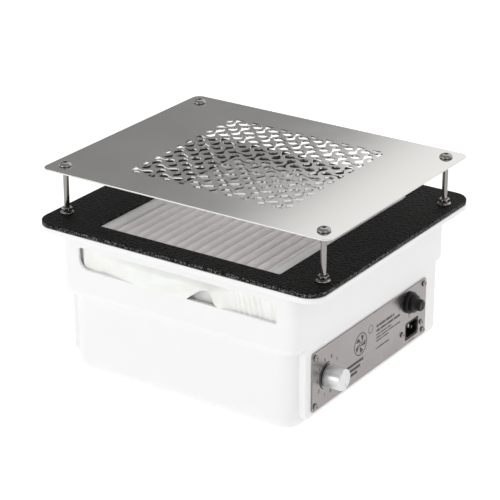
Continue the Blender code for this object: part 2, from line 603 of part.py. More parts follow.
# ---- control panel --------------------------------------------------------------------------
def make_panel():
    outline = rounded(PANEL_WIDTH, PANEL_HEIGHT, 3 * MM, 0, PANEL_CENTRE, 3)
    left = INLET_CENTRE.x - INLET_SCREW_PITCH / 2
    right = INLET_CENTRE.x + INLET_SCREW_PITCH / 2
    holes = [circle(1.8 * MM, 0, 8, place) for place in panel_screw_places()]
    holes += [circle(1.8 * MM, 0, 8, (y, INLET_CENTRE.y)) for y in (left, right)]
    holes.append(circle(4.6 * MM, 0, 16, KNOB_CENTRE))
    holes.append(circle(6.6 * MM, 0, 16, FUSE_CENTRE))
    holes.append(rounded(27.8 * MM, 20.8 * MM, 3 * MM, 0, INLET_CENTRE, 2))
    finish("control_panel", sheet(outline, holes, PANEL_BACK, PANEL_THICKNESS), "brushed_steel", FACING_X)
    for number, (y, z) in enumerate(panel_screw_places(), 1):
        screw(f"panel_screw_{number}", (0, y, z), "bright_metal", 3.4 * MM, 1.9 * MM, 1.4 * MM, 10 * MM,
              FACING_X, seat=FACE_HEAD)


def make_knob():
    """The speed control: a potentiometer held by its nut, and the knob on its shaft."""
    y, z = KNOB_CENTRE
    back = PANEL_BACK - GAP
    front = PANEL_FACE
    body = ((8.5 * MM, back - 12 * MM), (8.5 * MM, back), (4.2 * MM, back), (4.2 * MM, front + 4.4 * MM),
            (3.3 * MM, front + 4.4 * MM), (3.3 * MM, back - 2 * MM))
    finish("potentiometer", turned(body, 16), "aluminium", FACING_X, (0, y, z))
    low = FACE_HEAD
    nut = [polygon(6, 11 * MM, low, 12), polygon(6, 11 * MM, low + 2 * MM, 12),
           circle(4.5 * MM, low + 2 * MM, 12), circle(4.5 * MM, low, 12)]
    finish("pot_nut", loft(nut, True), "bright_metal", FACING_X, (0, y, z))
    base = axis_empty("knob_axis", (front, y, z))
    down = (-front, 0, 0)
    shaft = ((3 * MM, back - 1.6 * MM), (3 * MM, front + 17 * MM))
    finish("pot_shaft", turned(shaft, 12), "bright_metal", FACING_X, down, base)
    radius = KNOB_RADIUS
    knob = ((3.3 * MM, front + 17.4 * MM), (3.3 * MM, front + 5 * MM), (9 * MM, front + 5 * MM),
            (9 * MM, front + 0.6 * MM), (radius, front + 0.6 * MM), (radius, front + 2 * MM),
            (radius * 0.96, front + 18.8 * MM), (radius * 0.9, front + 20 * MM), (3 * MM, front + 20 * MM))
    finish("speed_knob", turned(knob, 24), "knob_plastic", FACING_X, down, base)


def make_fuse():
    """The fuse holder, its bayonet cap and the glass fuse that comes out with the cap."""
    y, z = FUSE_CENTRE
    back = 118 * MM
    mouth = FACE_HEAD + 4 * MM
    holder = ((6.2 * MM, back), (6.2 * MM, FACE_HEAD), (12 * MM, FACE_HEAD), (12 * MM, mouth - 1 * MM),
              (11 * MM, mouth), (4 * MM, mouth), (4 * MM, back + 3 * MM))
    finish("fuse_holder", turned(holder, 20), "black_plastic", FACING_X, (0, y, z))
    base = axis_empty("fuse_cap_slide", (mouth, y, z))
    down = (-mouth, 0, 0)
    stem = back + 25 * MM
    cap = ((3.6 * MM, stem), (3.6 * MM, mouth + GAP), (9.6 * MM, mouth + GAP), (9.6 * MM, mouth + 4.6 * MM),
           (6.6 * MM, mouth + 5.6 * MM), (6.2 * MM, mouth + 11 * MM), (5.2 * MM, mouth + 11.8 * MM))
    finish("fuse_cap", turned(cap, 20), "black_plastic", FACING_X, down, base)
    link = ((2.6 * MM, back + 4 * MM), (2.6 * MM, stem - GAP))
    finish("fuse_link", turned(link, 12), "glass", FACING_X, down, base)


def make_power_inlet():
    """A three-pin inlet fixed behind the panel, with its cavity open to the front."""
    y, z = INLET_CENTRE
    back = PANEL_BACK - GAP
    shell = [rounded(27 * MM, 20 * MM, 3 * MM, h, (0, 0), 3) for h in (PANEL_FACE - 25 * MM, back - 3 * MM)]
    wide = [flange_loop(0, h) for h in (back - 3 * MM, back)]
    nose = [rounded(27 * MM, 20 * MM, 3 * MM, h, (0, 0), 3) for h in (back, PANEL_FACE - 0.1 * MM)]
    hollow = [rounded(24 * MM, 16.5 * MM, 2.2 * MM, h, (0, 0), 3)
              for h in (PANEL_FACE - 0.1 * MM, PANEL_FACE - 18 * MM)]
    body = finish("power_inlet", loft(shell + wide + nose + hollow), "black_plastic", FACING_X, (0, y, z))
    for number, side in enumerate((-1, 1), 1):
        place = (0, y + side * INLET_SCREW_PITCH / 2, z)
        hole = turned(((1.8 * MM, back - 6 * MM), (1.8 * MM, back + 3 * MM)), 8)
        combine(body, finish(f"inlet_hole_tool_{number}", hole, "black_plastic", FACING_X, place))
        screw(f"inlet_screw_{number}", place, "bright_metal", 3.2 * MM, 1.8 * MM, 1.5 * MM, 9 * MM,
              FACING_X, seat=FACE_HEAD)
    pins = {"inlet_pin_line": (-7 * MM, -2 * MM), "inlet_pin_neutral": (7 * MM, -2 * MM),
            "inlet_pin_earth": (0, 2 * MM)}
    rear = PANEL_FACE - 31 * MM
    tip = PANEL_FACE - 4 * MM
    for name, (across, up) in pins.items():
        place = (0, y + across, z + up)
        hole = block((rear - 1 * MM, -1.4 * MM, -2.4 * MM), (tip, 1.4 * MM, 2.4 * MM))
        combine(body, finish(f"{name}_tool", hole, "black_plastic", UPRIGHT, place))
        blade = block((rear, -1 * MM, -2 * MM), (tip, 1 * MM, 2 * MM))
        finish(name, blade, "brass", UPRIGHT, place)


def make_electrics():
    """What the panel's controls drive: the speed board, the run capacitor and the motor's lead."""
    y, z = KNOB_CENTRE
    pot_back = PANEL_BACK - GAP - 12 * MM
    board = block((pot_back - 2 * MM, y - 12 * MM, z - 18 * MM), (pot_back - GAP, y + 50 * MM, z + 20 * MM))
    finish("speed_board", board, "circuit_board")
    can = ((15 * MM, WALL + GAP), (15 * MM, 54 * MM), (13.5 * MM, 56 * MM))
    finish("run_capacitor", turned(can, 16), "aluminium", UPRIGHT, (-92 * MM, 96 * MM, 0))

    lead = bpy.data.curves.new("motor_lead", "CURVE")
    lead.dimensions = "3D"
    lead.bevel_depth = 2.5 * MM
    lead.bevel_resolution = 2
    lead.use_fill_caps = True
    start = Vector((45.4 * MM, -8 * MM, STATOR_BASE + 3 * MM))
    end = Vector((pot_back - 3.4 * MM, y + 30 * MM, z - 6 * MM))
    pulls = (start + Vector((40 * MM, -4 * MM, 0)), end - Vector((36 * MM, 0, 14 * MM)))
    count = 14
    spline = lead.splines.new("POLY")
    spline.points.add(count - 1)
    for i in range(count):
        t = i / (count - 1)
        s = 1 - t
        point = s ** 3 * start + 3 * s * s * t * pulls[0] + 3 * s * t * t * pulls[1] + t ** 3 * end
        spline.points[i].co = (*point, 1)
    lead.materials.append(material("black_plastic"))
    bpy.context.scene.collection.objects.link(bpy.data.objects.new("motor_lead", lead))


def make_exhaust_cloth():
    """The non-woven cloth that hangs behind the exhaust slot."""
    inside = -BAND_WIDTH / 2 + WALL + GAP
    low = (SLOT_LEFT - 7 * MM, inside, SLOT_BOTTOM - 9 * MM)
    high = (SLOT_RIGHT + 6 * MM, inside + 5 * MM, SLOT_TOP + 9 * MM)
    finish("exhaust_cloth", block(low, high), "cloth")


def main():
    clear_scene()
    make_tub()
    make_top_plate()
    make_rim_screws()
    make_hand_rest()
    make_filter()
    make_filter_box()
    make_fan()
    make_panel()
    make_knob()
    make_fuse()
    make_power_inlet()
    make_electrics()
    make_exhaust_cloth()


main()
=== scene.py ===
"""Looks for the built-in nail dust collector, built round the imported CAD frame.

Lengths are in metres through MM. +X is the control panel's side, -Y is the exhaust slot's side, +Z is up.
"""
import json
import math

import bmesh
import bpy
from mathutils import Matrix, Vector, noise


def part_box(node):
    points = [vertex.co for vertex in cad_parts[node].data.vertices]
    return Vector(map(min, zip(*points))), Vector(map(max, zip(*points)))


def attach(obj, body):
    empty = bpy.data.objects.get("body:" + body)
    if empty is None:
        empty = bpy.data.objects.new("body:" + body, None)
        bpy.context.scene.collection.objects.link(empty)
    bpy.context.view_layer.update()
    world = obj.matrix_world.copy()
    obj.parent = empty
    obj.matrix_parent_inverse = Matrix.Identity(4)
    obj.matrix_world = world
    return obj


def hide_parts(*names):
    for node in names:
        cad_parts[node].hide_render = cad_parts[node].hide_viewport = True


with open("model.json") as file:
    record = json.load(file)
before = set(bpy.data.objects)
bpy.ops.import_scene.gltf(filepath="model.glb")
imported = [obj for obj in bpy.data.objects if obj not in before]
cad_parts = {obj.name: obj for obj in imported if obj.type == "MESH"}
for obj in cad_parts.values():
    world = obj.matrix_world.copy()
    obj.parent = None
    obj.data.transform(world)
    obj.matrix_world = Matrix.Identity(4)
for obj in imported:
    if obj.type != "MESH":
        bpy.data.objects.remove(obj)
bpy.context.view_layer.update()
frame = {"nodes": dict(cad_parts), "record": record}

MM = 0.001
GAP = 0.3 * MM

# ---- sizes read from the frame -----------------------------------------------
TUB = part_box("tub")
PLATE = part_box("top_plate")
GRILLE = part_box("grille_plate")
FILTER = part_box("filter_frame")
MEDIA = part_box("filter_media")
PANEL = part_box("control_panel")
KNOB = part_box("speed_knob")
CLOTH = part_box("exhaust_cloth")
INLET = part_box("power_inlet")
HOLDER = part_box("fuse_holder")
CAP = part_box("fuse_cap")
LEG_PLACES = [(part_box(f"grille_screw_{i}")[0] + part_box(f"grille_screw_{i}")[1]) / 2 for i in (1, 2, 3, 4)]

# ---- sizes shared with the CAD source ----------------------------------------
LIP_RADIUS = 20 * MM
LIP_SKIRT = 3 * MM
BAND = (145.75 * MM, 150.5 * MM, 13 * MM)      # half length, half width, corner radius
BODY = (138.5 * MM, 144.5 * MM, 20 * MM)
BODY_TOP = 82.5 * MM
BAND_BOTTOM = 89.5 * MM
BASE_FILLET = 12 * MM
WALL = 3.5 * MM
PAD_HALF_WIDTH = 131 * MM
PAD_BOTTOM = 9.5 * MM
SLOT_LOW = (-120.5 * MM, 118.5 * MM)           # X and Z of the exhaust slot's corners
SLOT_HIGH = (123.5 * MM, 142 * MM)
SLOT_RADII = (4 * MM, 3 * MM, 12 * MM, 3 * MM)  # top right, top left, bottom left, bottom right
OPENING_RADIUS = 2 * MM
GRILLE_RADIUS = 10 * MM
LEG_RADIUS = 3 * MM
LEG_HOLE = 3.4 * MM
WINDOW_Y = (-108 * MM, 93 * MM)
WINDOW_Z = (24.3 * MM, 71.2 * MM)
INLET_SCREW_PITCH = 40 * MM
SLOT_CELLS = 10
SLOT_PITCH = 19.4 * MM
SLOT_LOBE = 9.6 * MM                            # from a slot's middle to the middle of its lobe
SLOT_STRIP = 3.7 * MM                           # steel left between neighbouring slots
FIELD_X = 1.5 * MM
DIAL_START = 286                                # degrees from +Y, anticlockwise seen from +X
DIAL_STEP = 36
DIAL_RADIUS = 20 * MM
PRINT_THICKNESS = 0.05 * MM
CLOTH_THICKNESS = 0.3 * MM


# ---- camera, light and floor -------------------------------------------------
VIEW_TARGET = Vector((3.9, -18.4, 121.8)) * MM
VIEW_AZIMUTH = math.radians(33.9)
VIEW_ELEVATION = math.radians(23.18)
VIEW_DISTANCE = 2.1124
VIEW_LENS = 144.6
SENSOR = 36.0
STUDIO_EDGE = (0.69, 0.0, 0.725)                # across the line between the grey card and the bright one
STUDIO_SHIFT = -0.074
STUDIO_SOFTNESS = 0.013
STUDIO_FRONT = 0.55
STUDIO_DARK = 0.33
STUDIO_BRIGHT = 1.35
FLOOR_GLOW = 0.42


def make_camera():
    data = bpy.data.cameras.new("camera")
    data.lens = VIEW_LENS
    data.sensor_width = SENSOR
    data.clip_end = 50
    camera = bpy.data.objects.new("camera", data)
    bpy.context.scene.collection.objects.link(camera)
    flat = math.cos(VIEW_ELEVATION)
    back = Vector((math.sin(VIEW_AZIMUTH) * flat, -math.cos(VIEW_AZIMUTH) * flat, math.sin(VIEW_ELEVATION)))
    camera.location = VIEW_TARGET + VIEW_DISTANCE * back
    camera.rotation_euler = (math.pi / 2 - VIEW_ELEVATION, 0, VIEW_AZIMUTH)
    bpy.context.scene.camera = camera


def area_light(name, place, target, size, power, colour=(1, 1, 1)):
    data = bpy.data.lights.new(name, "AREA")
    data.shape = "RECTANGLE"
    data.size, data.size_y = size
    data.energy = power
    data.color = colour
    lamp = bpy.data.objects.new(name, data)
    bpy.context.scene.collection.objects.link(lamp)
    lamp.location = place
    lamp.rotation_euler = (Vector(target) - Vector(place)).to_track_quat("-Z", "Y").to_euler()


def make_world():
    """A pale studio: even in front, and behind the object a grey card beside a bright one, for the steel."""
    world = bpy.data.worlds.new("studio")
    world.use_nodes = True
    tree = world.node_tree
    coords = tree.nodes.new("ShaderNodeTexCoord").outputs["Generated"]

    def ramp(direction, middle, softness, low, high):
        dot = tree.nodes.new("ShaderNodeVectorMath")
        dot.operation = "DOT_PRODUCT"
        dot.inputs[1].default_value = direction
        tree.links.new(coords, dot.inputs[0])
        step = tree.nodes.new("ShaderNodeMapRange")
        step.interpolation_type = "SMOOTHSTEP"
        step.inputs["From Min"].default_value = middle - softness
        step.inputs["From Max"].default_value = middle + softness
        step.inputs["To Min"].default_value = low
        step.inputs["To Max"].default_value = high
        tree.links.new(dot.outputs["Value"], step.inputs["Value"])
        return step.outputs["Result"]

    mix = tree.nodes.new("ShaderNodeMix")
    mix.data_type = "FLOAT"
    mix.inputs["A"].default_value = STUDIO_FRONT
    tree.links.new(ramp((0, 1, 0), 0.5, 0.12, 0, 1), mix.inputs["Factor"])
    cards = ramp(STUDIO_EDGE, STUDIO_SHIFT, STUDIO_SOFTNESS, STUDIO_DARK, STUDIO_BRIGHT)
    tree.links.new(cards, mix.inputs["B"])
    tree.links.new(mix.outputs["Result"], tree.nodes["Background"].inputs["Strength"])
    tree.nodes["Background"].inputs["Color"].default_value = (1, 0.99, 0.98, 1)
    bpy.context.scene.world = world


def make_stage():
    bm = bmesh.new()
    bmesh.ops.create_grid(bm, x_segments=2, y_segments=2, size=6)
    mesh = bpy.data.meshes.new("floor")
    bm.to_mesh(mesh)
    bm.free()
    floor = bpy.data.objects.new("floor", mesh)
    floor.location.z = TUB[0].z - 0.2 * MM
    bpy.context.scene.collection.objects.link(floor)
    look = bpy.data.materials.new("floor")
    look.use_nodes = True
    shader = look.node_tree.nodes["Principled BSDF"]
    shader.inputs["Base Color"].default_value = (0.93, 0.93, 0.93, 1)
    shader.inputs["Roughness"].default_value = 0.9
    shader.inputs["Emission Color"].default_value = (1, 1, 1, 1)
    shader.inputs["Emission Strength"].default_value = FLOOR_GLOW
    mesh.materials.append(look)
    area_light("key", (1.6, -0.9, 1.5), (0, 0, 0.08), (1.4, 1.4), 8)
    area_light("fill", (-0.9, -2.2, 0.62), (0, 0, 0.12), (1.8, 0.9), 14)
    area_light("side", (-2.2, -0.5, 0.55), (0, 0, 0.15), (1.4, 0.7), 5)


# ---- materials ---------------------------------------------------------------
class Look:
    """A Principled material whose colour, roughness and bump come from small procedural patterns."""

    def __init__(self, name, **sockets):
        self.material = bpy.data.materials.new(name)
        self.material.use_nodes = True
        self.tree = self.material.node_tree
        self.shader = self.tree.nodes["Principled BSDF"]
        self.place = self.add("ShaderNodeTexCoord").outputs["Object"]
        for socket, value in sockets.items():
            self.shader.inputs[socket.replace("_", " ")].default_value = value

    def add(self, kind, **settings):
        node = self.tree.nodes.new(kind)
        for key, value in settings.items():
            setattr(node, key, value)
        return node

    def join(self, output, socket):
        self.tree.links.new(output, socket)

    def stretched(self, factors):
        """The object coordinates scaled along each axis, for patterns that run one way."""
        node = self.add("ShaderNodeMapping", vector_type="POINT")
        node.inputs["Scale"].default_value = factors
        self.join(self.place, node.inputs["Vector"])
        return node.outputs["Vector"]

    def noise(self, size, detail=3.0, place=None, rough=0.5):
        """Noise with features about `size` metres across, from 0 to 1."""
        node = self.add("ShaderNodeTexNoise")
        node.inputs["Scale"].default_value = 1 / size
        node.inputs["Detail"].default_value = detail
        node.inputs["Roughness"].default_value = rough
        self.join(place or self.place, node.inputs["Vector"])
        return node.outputs["Fac"]

    def cells(self, size, feature="F1"):
        node = self.add("ShaderNodeTexVoronoi", feature=feature)
        node.inputs["Scale"].default_value = 1 / size
        self.join(self.place, node.inputs["Vector"])
        return node.outputs["Distance"]

    def span(self, value, low, high, start=0.3, end=0.7):
        """A 0 to 1 pattern stretched to the range low to high."""
        node = self.add("ShaderNodeMapRange")
        node.inputs["From Min"].default_value = start
        node.inputs["From Max"].default_value = end
        node.inputs["To Min"].default_value = low
        node.inputs["To Max"].default_value = high
        self.join(value, node.inputs["Value"])
        return node.outputs["Result"]

    def sum(self, first, second, share=0.5):
        """first times (1 - share) plus second times share."""
        node = self.add("ShaderNodeMix", data_type="FLOAT")
        node.inputs["Factor"].default_value = share
        self.join(first, node.inputs["A"])
        self.join(second, node.inputs["B"])
        return node.outputs["Result"]

    def colour(self, pattern, dark, light, start=0.3, end=0.7):
        node = self.add("ShaderNodeValToRGB")
        node.color_ramp.elements[0].position = start
        node.color_ramp.elements[1].position = end
        node.color_ramp.elements[0].color = (*dark, 1)
        node.color_ramp.elements[1].color = (*light, 1)
        self.join(pattern, node.inputs["Fac"])
        self.join(node.outputs["Color"], self.shader.inputs["Base Color"])

    def roughness(self, pattern, low, high):
        self.join(self.span(pattern, low, high), self.shader.inputs["Roughness"])

    def bump(self, height, depth):
        node = self.add("ShaderNodeBump")
        node.inputs["Distance"].default_value = depth
        self.join(height, node.inputs["Height"])
        self.join(node.outputs["Normal"], self.shader.inputs["Normal"])


def shade(colour, factor):
    return tuple(channel * factor for channel in colour)


def plain_look(name, colour, rough, grain, depth, spread=0.06, **sockets):
    """A moulded or machined surface: fine grain, slight tint and roughness variation."""
    look = Look(name, **sockets)
    broad = look.noise(38 * MM, 2)
    fine = look.noise(grain, 4)
    look.colour(look.sum(broad, fine, 0.4), shade(colour, 1 - spread), shade(colour, 1 + spread * 0.4))
    look.roughness(look.sum(broad, fine, 0.6), rough * 0.85, rough * 1.15)
    look.bump(fine, depth)
    return look.material


def brushed_look(name, colour, rough, along=(1, 60, 60), metal=1.0, depth=0.004 * MM, spread=0.03):
    """Satin metal: hair lines along one axis over slow changes of tint and gloss."""
    look = Look(name, Metallic=metal)
    lines = look.noise(6 * MM, 3, look.stretched(along), 0.6)
    broad = look.noise(70 * MM, 2)
    look.colour(look.sum(broad, lines, 0.3), shade(colour, 1 - spread), shade(colour, 1 + spread))
    look.roughness(look.sum(broad, lines, 0.5), rough * 0.85, rough * 1.15)
    look.bump(lines, depth)
    return look.material


def leather_look(name):
    """Black sheet with a coarse raised grain: rounded pebbles parted by fine creases, with painted highlight
    specks mostly on its side faces.
    """
    look = Look(name, Specular_IOR_Level=0.11, IOR=1.3)
    warp = look.noise(3 * MM, 3)
    pebbles = look.cells(2.6 * MM, "SMOOTH_F1")
    fine = look.noise(0.9 * MM, 4)
    relief = look.sum(look.sum(warp, pebbles, 0.6), fine, 0.2)
    look.colour(warp, (0.0008, 0.0008, 0.0008), (0.005, 0.0048, 0.0048))
    flat = look.add("ShaderNodeSeparateXYZ")
    look.join(look.add("ShaderNodeNewGeometry").outputs["True Normal"], flat.inputs["Vector"])
    upright = look.add("ShaderNodeMath", operation="ABSOLUTE")
    look.join(flat.outputs["Z"], upright.inputs[0])
    # a Mix node set to RGBA takes its two colours at inputs 6 and 7 and gives the result at output 2
    # light specks mixed into the base colour, strongest where the face turns sideways: painted highlights on
    # the grain
    painted_edge_glint = look.add("ShaderNodeMix", data_type="RGBA")
    painted_glint_mask = look.add("ShaderNodeMath", operation="MULTIPLY")
    look.join(look.span(look.noise(1.7 * MM, 2, rough=0.7), 0, 1, 0.5, 0.62), painted_glint_mask.inputs[0])
    look.join(look.span(upright.outputs["Value"], 1, 0.12, 0.3, 0.85), painted_glint_mask.inputs[1])
    look.join(look.shader.inputs["Base Color"].links[0].from_socket, painted_edge_glint.inputs[6])
    look.join(painted_glint_mask.outputs["Value"], painted_edge_glint.inputs["Factor"])
    # colour of the painted highlight specks
    painted_edge_glint.inputs[7].default_value = (0.16, 0.15, 0.15, 1)
    look.join(painted_edge_glint.outputs[2], look.shader.inputs["Base Color"])
    look.roughness(fine, 0.26, 0.42)
    look.bump(relief, 4.0 * MM)
    return look.material


def paper_look(name, colour):
    """Non-woven filter media: short fibres, matt, slightly uneven in tone."""
    look = Look(name)
    look.shader.inputs["Roughness"].default_value = 0.95
    look.shader.inputs["Sheen Weight"].default_value = 0.15
    fibres = look.noise(0.35 * MM, 6, look.stretched((1, 0.35, 1)), 0.7)
    broad = look.noise(14 * MM, 3)
    look.colour(look.sum(broad, fibres, 0.5), shade(colour, 0.93), shade(colour, 1.03))
    look.roughness(fibres, 0.88, 0.98)
    look.bump(fibres, 0.12 * MM)
    return look.material


def cloth_look(name, colour):
    """Thin non-woven cloth: matted fibres and a faint point-bonded weave that lets some light through."""
    look = Look(name)
    look.shader.inputs["Sheen Weight"].default_value = 0.3
    look.shader.inputs["Subsurface Weight"].default_value = 0.12
    look.shader.inputs["Subsurface Scale"].default_value = 1.5 * MM
    fibres = look.noise(0.5 * MM, 6, look.stretched((0.5, 1, 1)), 0.7)
    bonds = look.cells(1.1 * MM)
    broad = look.noise(18 * MM, 3)
    look.colour(look.sum(broad, fibres, 0.4), shade(colour, 0.94), shade(colour, 1.03))
    look.roughness(fibres, 0.86, 0.97)
    look.bump(look.sum(fibres, bonds, 0.4), 0.1 * MM)
    return look.material


def coil_look(name):
    """Varnished laminations: thin stacked lines over a dark brown body."""
    look = Look(name, Metallic=0.3)
    layers = look.noise(3 * MM, 2, look.stretched((0.2, 0.2, 4)))
    look.colour(layers, (0.05, 0.035, 0.03), (0.2, 0.15, 0.12))
    look.roughness(layers, 0.35, 0.55)
    look.bump(layers, 0.2 * MM)
    return look.material


def make_looks():
    white = (0.80, 0.80, 0.805)
    looks = {}

    def add(recipe, name, *values, **sockets):
        looks[name] = recipe(name, *values, **sockets)

    add(plain_look, "white_shell", white, 0.4, 0.7 * MM, 0.012 * MM, spread=0.012)
    add(leather_look, "black_plate")
    add(brushed_look, "hand_rest_steel", (0.60, 0.60, 0.585), 0.11, depth=0.0006 * MM)
    # dark steel colour: a painted reflection that stands in for dark surroundings mirrored in the metal
    add(brushed_look, "bright_fasteners", (0.29, 0.28, 0.275), 0.14, (20, 20, 4))
    add(plain_look, "collars", (0.03, 0.03, 0.03), 0.6, 0.5 * MM, 0.02 * MM)
    add(paper_look, "filter_surround", (0.89, 0.885, 0.885))
    add(paper_look, "filter_paper", (0.93, 0.90, 0.90))
    add(plain_look, "filter_seal", (0.05, 0.05, 0.05), 0.9, 0.8 * MM, 0.3 * MM)
    add(plain_look, "filter_sleeve", (0.2, 0.21, 0.22), 0.5, 0.6 * MM, 0.03 * MM)
    add(brushed_look, "inlet_ring", (0.68, 0.69, 0.7), 0.3, (8, 8, 60))
    add(plain_look, "fan_plastic", (0.025, 0.025, 0.026), 0.45, 0.5 * MM, 0.03 * MM)
    add(brushed_look, "motor_shell", (0.6, 0.61, 0.62), 0.36, (8, 8, 60))
    add(coil_look, "motor_core")
    add(brushed_look, "ground_steel", (0.6, 0.6, 0.6), 0.2, (10, 10, 80))
    add(brushed_look, "panel_steel", (0.32, 0.30, 0.296), 0.26, (60, 1, 60), spread=0.08)
    add(brushed_look, "knob_grey", (0.66, 0.67, 0.68), 0.3, (8, 50, 50), 0.8, 0.01 * MM, 0.12)
    add(brushed_look, "pot_case", (0.6, 0.6, 0.57), 0.35)
    add(plain_look, "black_plastic", (0.006, 0.006, 0.0065), 0.36, 0.5 * MM, 0.02 * MM,
        Specular_IOR_Level=0.25)
    add(plain_look, "fuse_glass", (0.85, 0.88, 0.87), 0.06, 2 * MM, 0.01 * MM, Transmission_Weight=0.8)
    add(brushed_look, "contact_brass", (0.66, 0.60, 0.47), 0.28, (1, 30, 30))
    add(plain_look, "circuit_board", (0.03, 0.15, 0.07), 0.4, 1.5 * MM, 0.03 * MM, spread=0.3)
    add(brushed_look, "capacitor_can", (0.65, 0.66, 0.67), 0.3, (10, 10, 60))
    add(plain_look, "lead_sleeve", (0.02, 0.02, 0.02), 0.55, 0.4 * MM, 0.02 * MM)
    add(cloth_look, "exhaust_cloth", (0.835, 0.825, 0.80))
    return looks


# ---- shape helpers -----------------------------------------------------------
# turns a shape drawn in (u, v, height) so that u is Y, v is Z and height is X
FACING_X = Matrix(((0, 0, 1, 0), (1, 0, 0, 0), (0, 1, 0, 0), (0, 0, 0, 1)))


def circle(radius, height, count=64, centre=(0, 0)):
    return [Vector((centre[0] + radius * math.cos(math.tau * i / count),
                    centre[1] + radius * math.sin(math.tau * i / count), height)) for i in range(count)]


def hexagon(across_flats, height, count=60, limit=1.0):
    """A hexagon sampled like circle(); no point lies further out than `limit`."""
    loop = []
    for i in range(count):
        angle = math.tau * i / count
        inside = (angle + math.pi / 6) % (math.pi / 3) - math.pi / 6
        radius = min(across_flats / 2 / math.cos(inside), limit)
        loop.append(Vector((radius * math.cos(angle), radius * math.sin(angle), height)))
    return loop


def cross(length, width, height, count=64):
    """The outline of a cross recess, sampled like circle()."""
    loop = []
    for i in range(count):
        angle = math.tau * i / count + math.pi / 4
        u, v = abs(math.cos(angle)) + 1e-6, abs(math.sin(angle)) + 1e-6
        radius = max(min(length / u, width / v), min(width / u, length / v))
        loop.append(Vector((radius * math.cos(angle), radius * math.sin(angle), height)))
    return loop


def rounded(half_x, half_y, radius, height, centre=(0, 0), steps=12):
    return framed((centre[0] - half_x, centre[1] - half_y), (centre[0] + half_x, centre[1] + half_y),
                  (radius,) * 4, height, steps)


def framed(low, high, radii, height, steps=12):
    """A rectangle with its own radius at each corner, anticlockwise from the high corner."""
    loop = []
    for corner, (sx, sy) in enumerate(((1, 1), (-1, 1), (-1, -1), (1, -1))):
        radius = radii[corner]
        cx = (high[0] if sx > 0 else low[0]) - sx * radius
        cy = (high[1] if sy > 0 else low[1]) - sy * radius
        for i in range(steps + 1):
            angle = math.radians(90 * corner + 90 * i / steps)
            loop.append(Vector((cx + radius * math.cos(angle), cy + radius * math.sin(angle), height)))
    return loop


def loft(loops, ring=False):
    bm = bmesh.new()
    rows = [[bm.verts.new(point) for point in loop] for loop in loops]
    count = len(rows[0])
    pairs = list(zip(rows, rows[1:]))
    if ring:
        pairs.append((rows[-1], rows[0]))
    for low, high in pairs:
        for i in range(count):
            j = (i + 1) % count
            bm.faces.new((low[i], low[j], high[j], high[i]))
    if not ring:
        bm.faces.new(rows[0])
        bm.faces.new(rows[-1])
    return bm


def turned(profile, count=64, ring=False):
    return loft([circle(radius, height, count) for radius, height in profile], ring)


def soften(keys, radii, steps=5):
    """Round the corners of a chain of keys: each key is cut back by its radius and bridged by a curve."""
    out = []
    for i, (key, radius) in enumerate(zip(keys, radii)):
        if not radius or i in (0, len(keys) - 1):
            out.append(tuple(key))
            continue
        ends = []
        for other in (keys[i - 1], keys[i + 1]):
            run = math.hypot(other[0] - key[0], other[-1] - key[-1])
            share = min(radius / run, 0.5)
            ends.append([a + (b - a) * share for a, b in zip(key, other)])
        for s in range(steps + 1):
            t = s / steps
            weights = ((1 - t) ** 2, 2 * t * (1 - t), t * t)
            out.append(tuple(sum(w * p[n] for w, p in zip(weights, (ends[0], key, ends[1])))
                             for n in range(len(key))))
    return out


def sheet(outline, holes, bottom, thickness, edge=0.0):
    """A flat plate with holes, from loops of points; its outer edges are rounded by `edge`."""
    bm = bmesh.new()
    edges = []
    rim = []
    for loop in [outline, *holes]:
        verts = [bm.verts.new((point[0], point[1], bottom)) for point in loop]
        made = [bm.edges.new((a, b)) for a, b in zip(verts, verts[1:] + verts[:1])]
        edges += made
        rim = rim or made
    bmesh.ops.triangle_fill(bm, use_beauty=True, use_dissolve=False, edges=edges)
    places = {vert.co.to_2d().freeze() for edge_of_rim in rim for vert in edge_of_rim.verts}
    top = bmesh.ops.extrude_face_region(bm, geom=list(bm.faces))
    moved = [item for item in top["geom"] if isinstance(item, bmesh.types.BMVert)]
    bmesh.ops.translate(bm, vec=(0, 0, thickness), verts=moved)
    if edge:
        outer = []
        for item in bm.edges:
            a, b = item.verts
            level = abs(a.co.z - b.co.z) < thickness / 2
            on_rim = a.co.to_2d().freeze() in places and b.co.to_2d().freeze() in places
            if level and on_rim and not item.is_boundary and item.calc_face_angle(0) > 1:
                outer.append(item)
        bmesh.ops.bevel(bm, geom=outer, offset=edge, segments=3, affect="EDGES", profile=0.5)
    return bm


def block(low, high):
    bm = bmesh.new()
    bmesh.ops.create_cube(bm, size=1)
    bmesh.ops.scale(bm, vec=Vector(high) - Vector(low), verts=bm.verts)
    bmesh.ops.translate(bm, vec=(Vector(low) + Vector(high)) / 2, verts=bm.verts)
    return bm


def to_object(name, bm, turn=None, place=(0, 0, 0)):
    if turn:
        bmesh.ops.transform(bm, matrix=turn, verts=bm.verts)
    bmesh.ops.translate(bm, vec=place, verts=bm.verts)
    bmesh.ops.recalc_face_normals(bm, faces=bm.faces)
    mesh = bpy.data.meshes.new(name)
    bm.to_mesh(mesh)
    bm.free()
    made = bpy.data.objects.new(name, mesh)
    bpy.context.scene.collection.objects.link(made)
    return made


def settle(piece, tools=()):
    """Apply the piece's modifiers and drop the tool objects they used."""
    bpy.context.view_layer.update()
    graph = bpy.context.evaluated_depsgraph_get()
    mesh = bpy.data.meshes.new_from_object(piece.evaluated_get(graph))
    piece.modifiers.clear()
    piece.data = mesh
    for tool in tools:
        bpy.data.objects.remove(tool, do_unlink=True)
    return piece


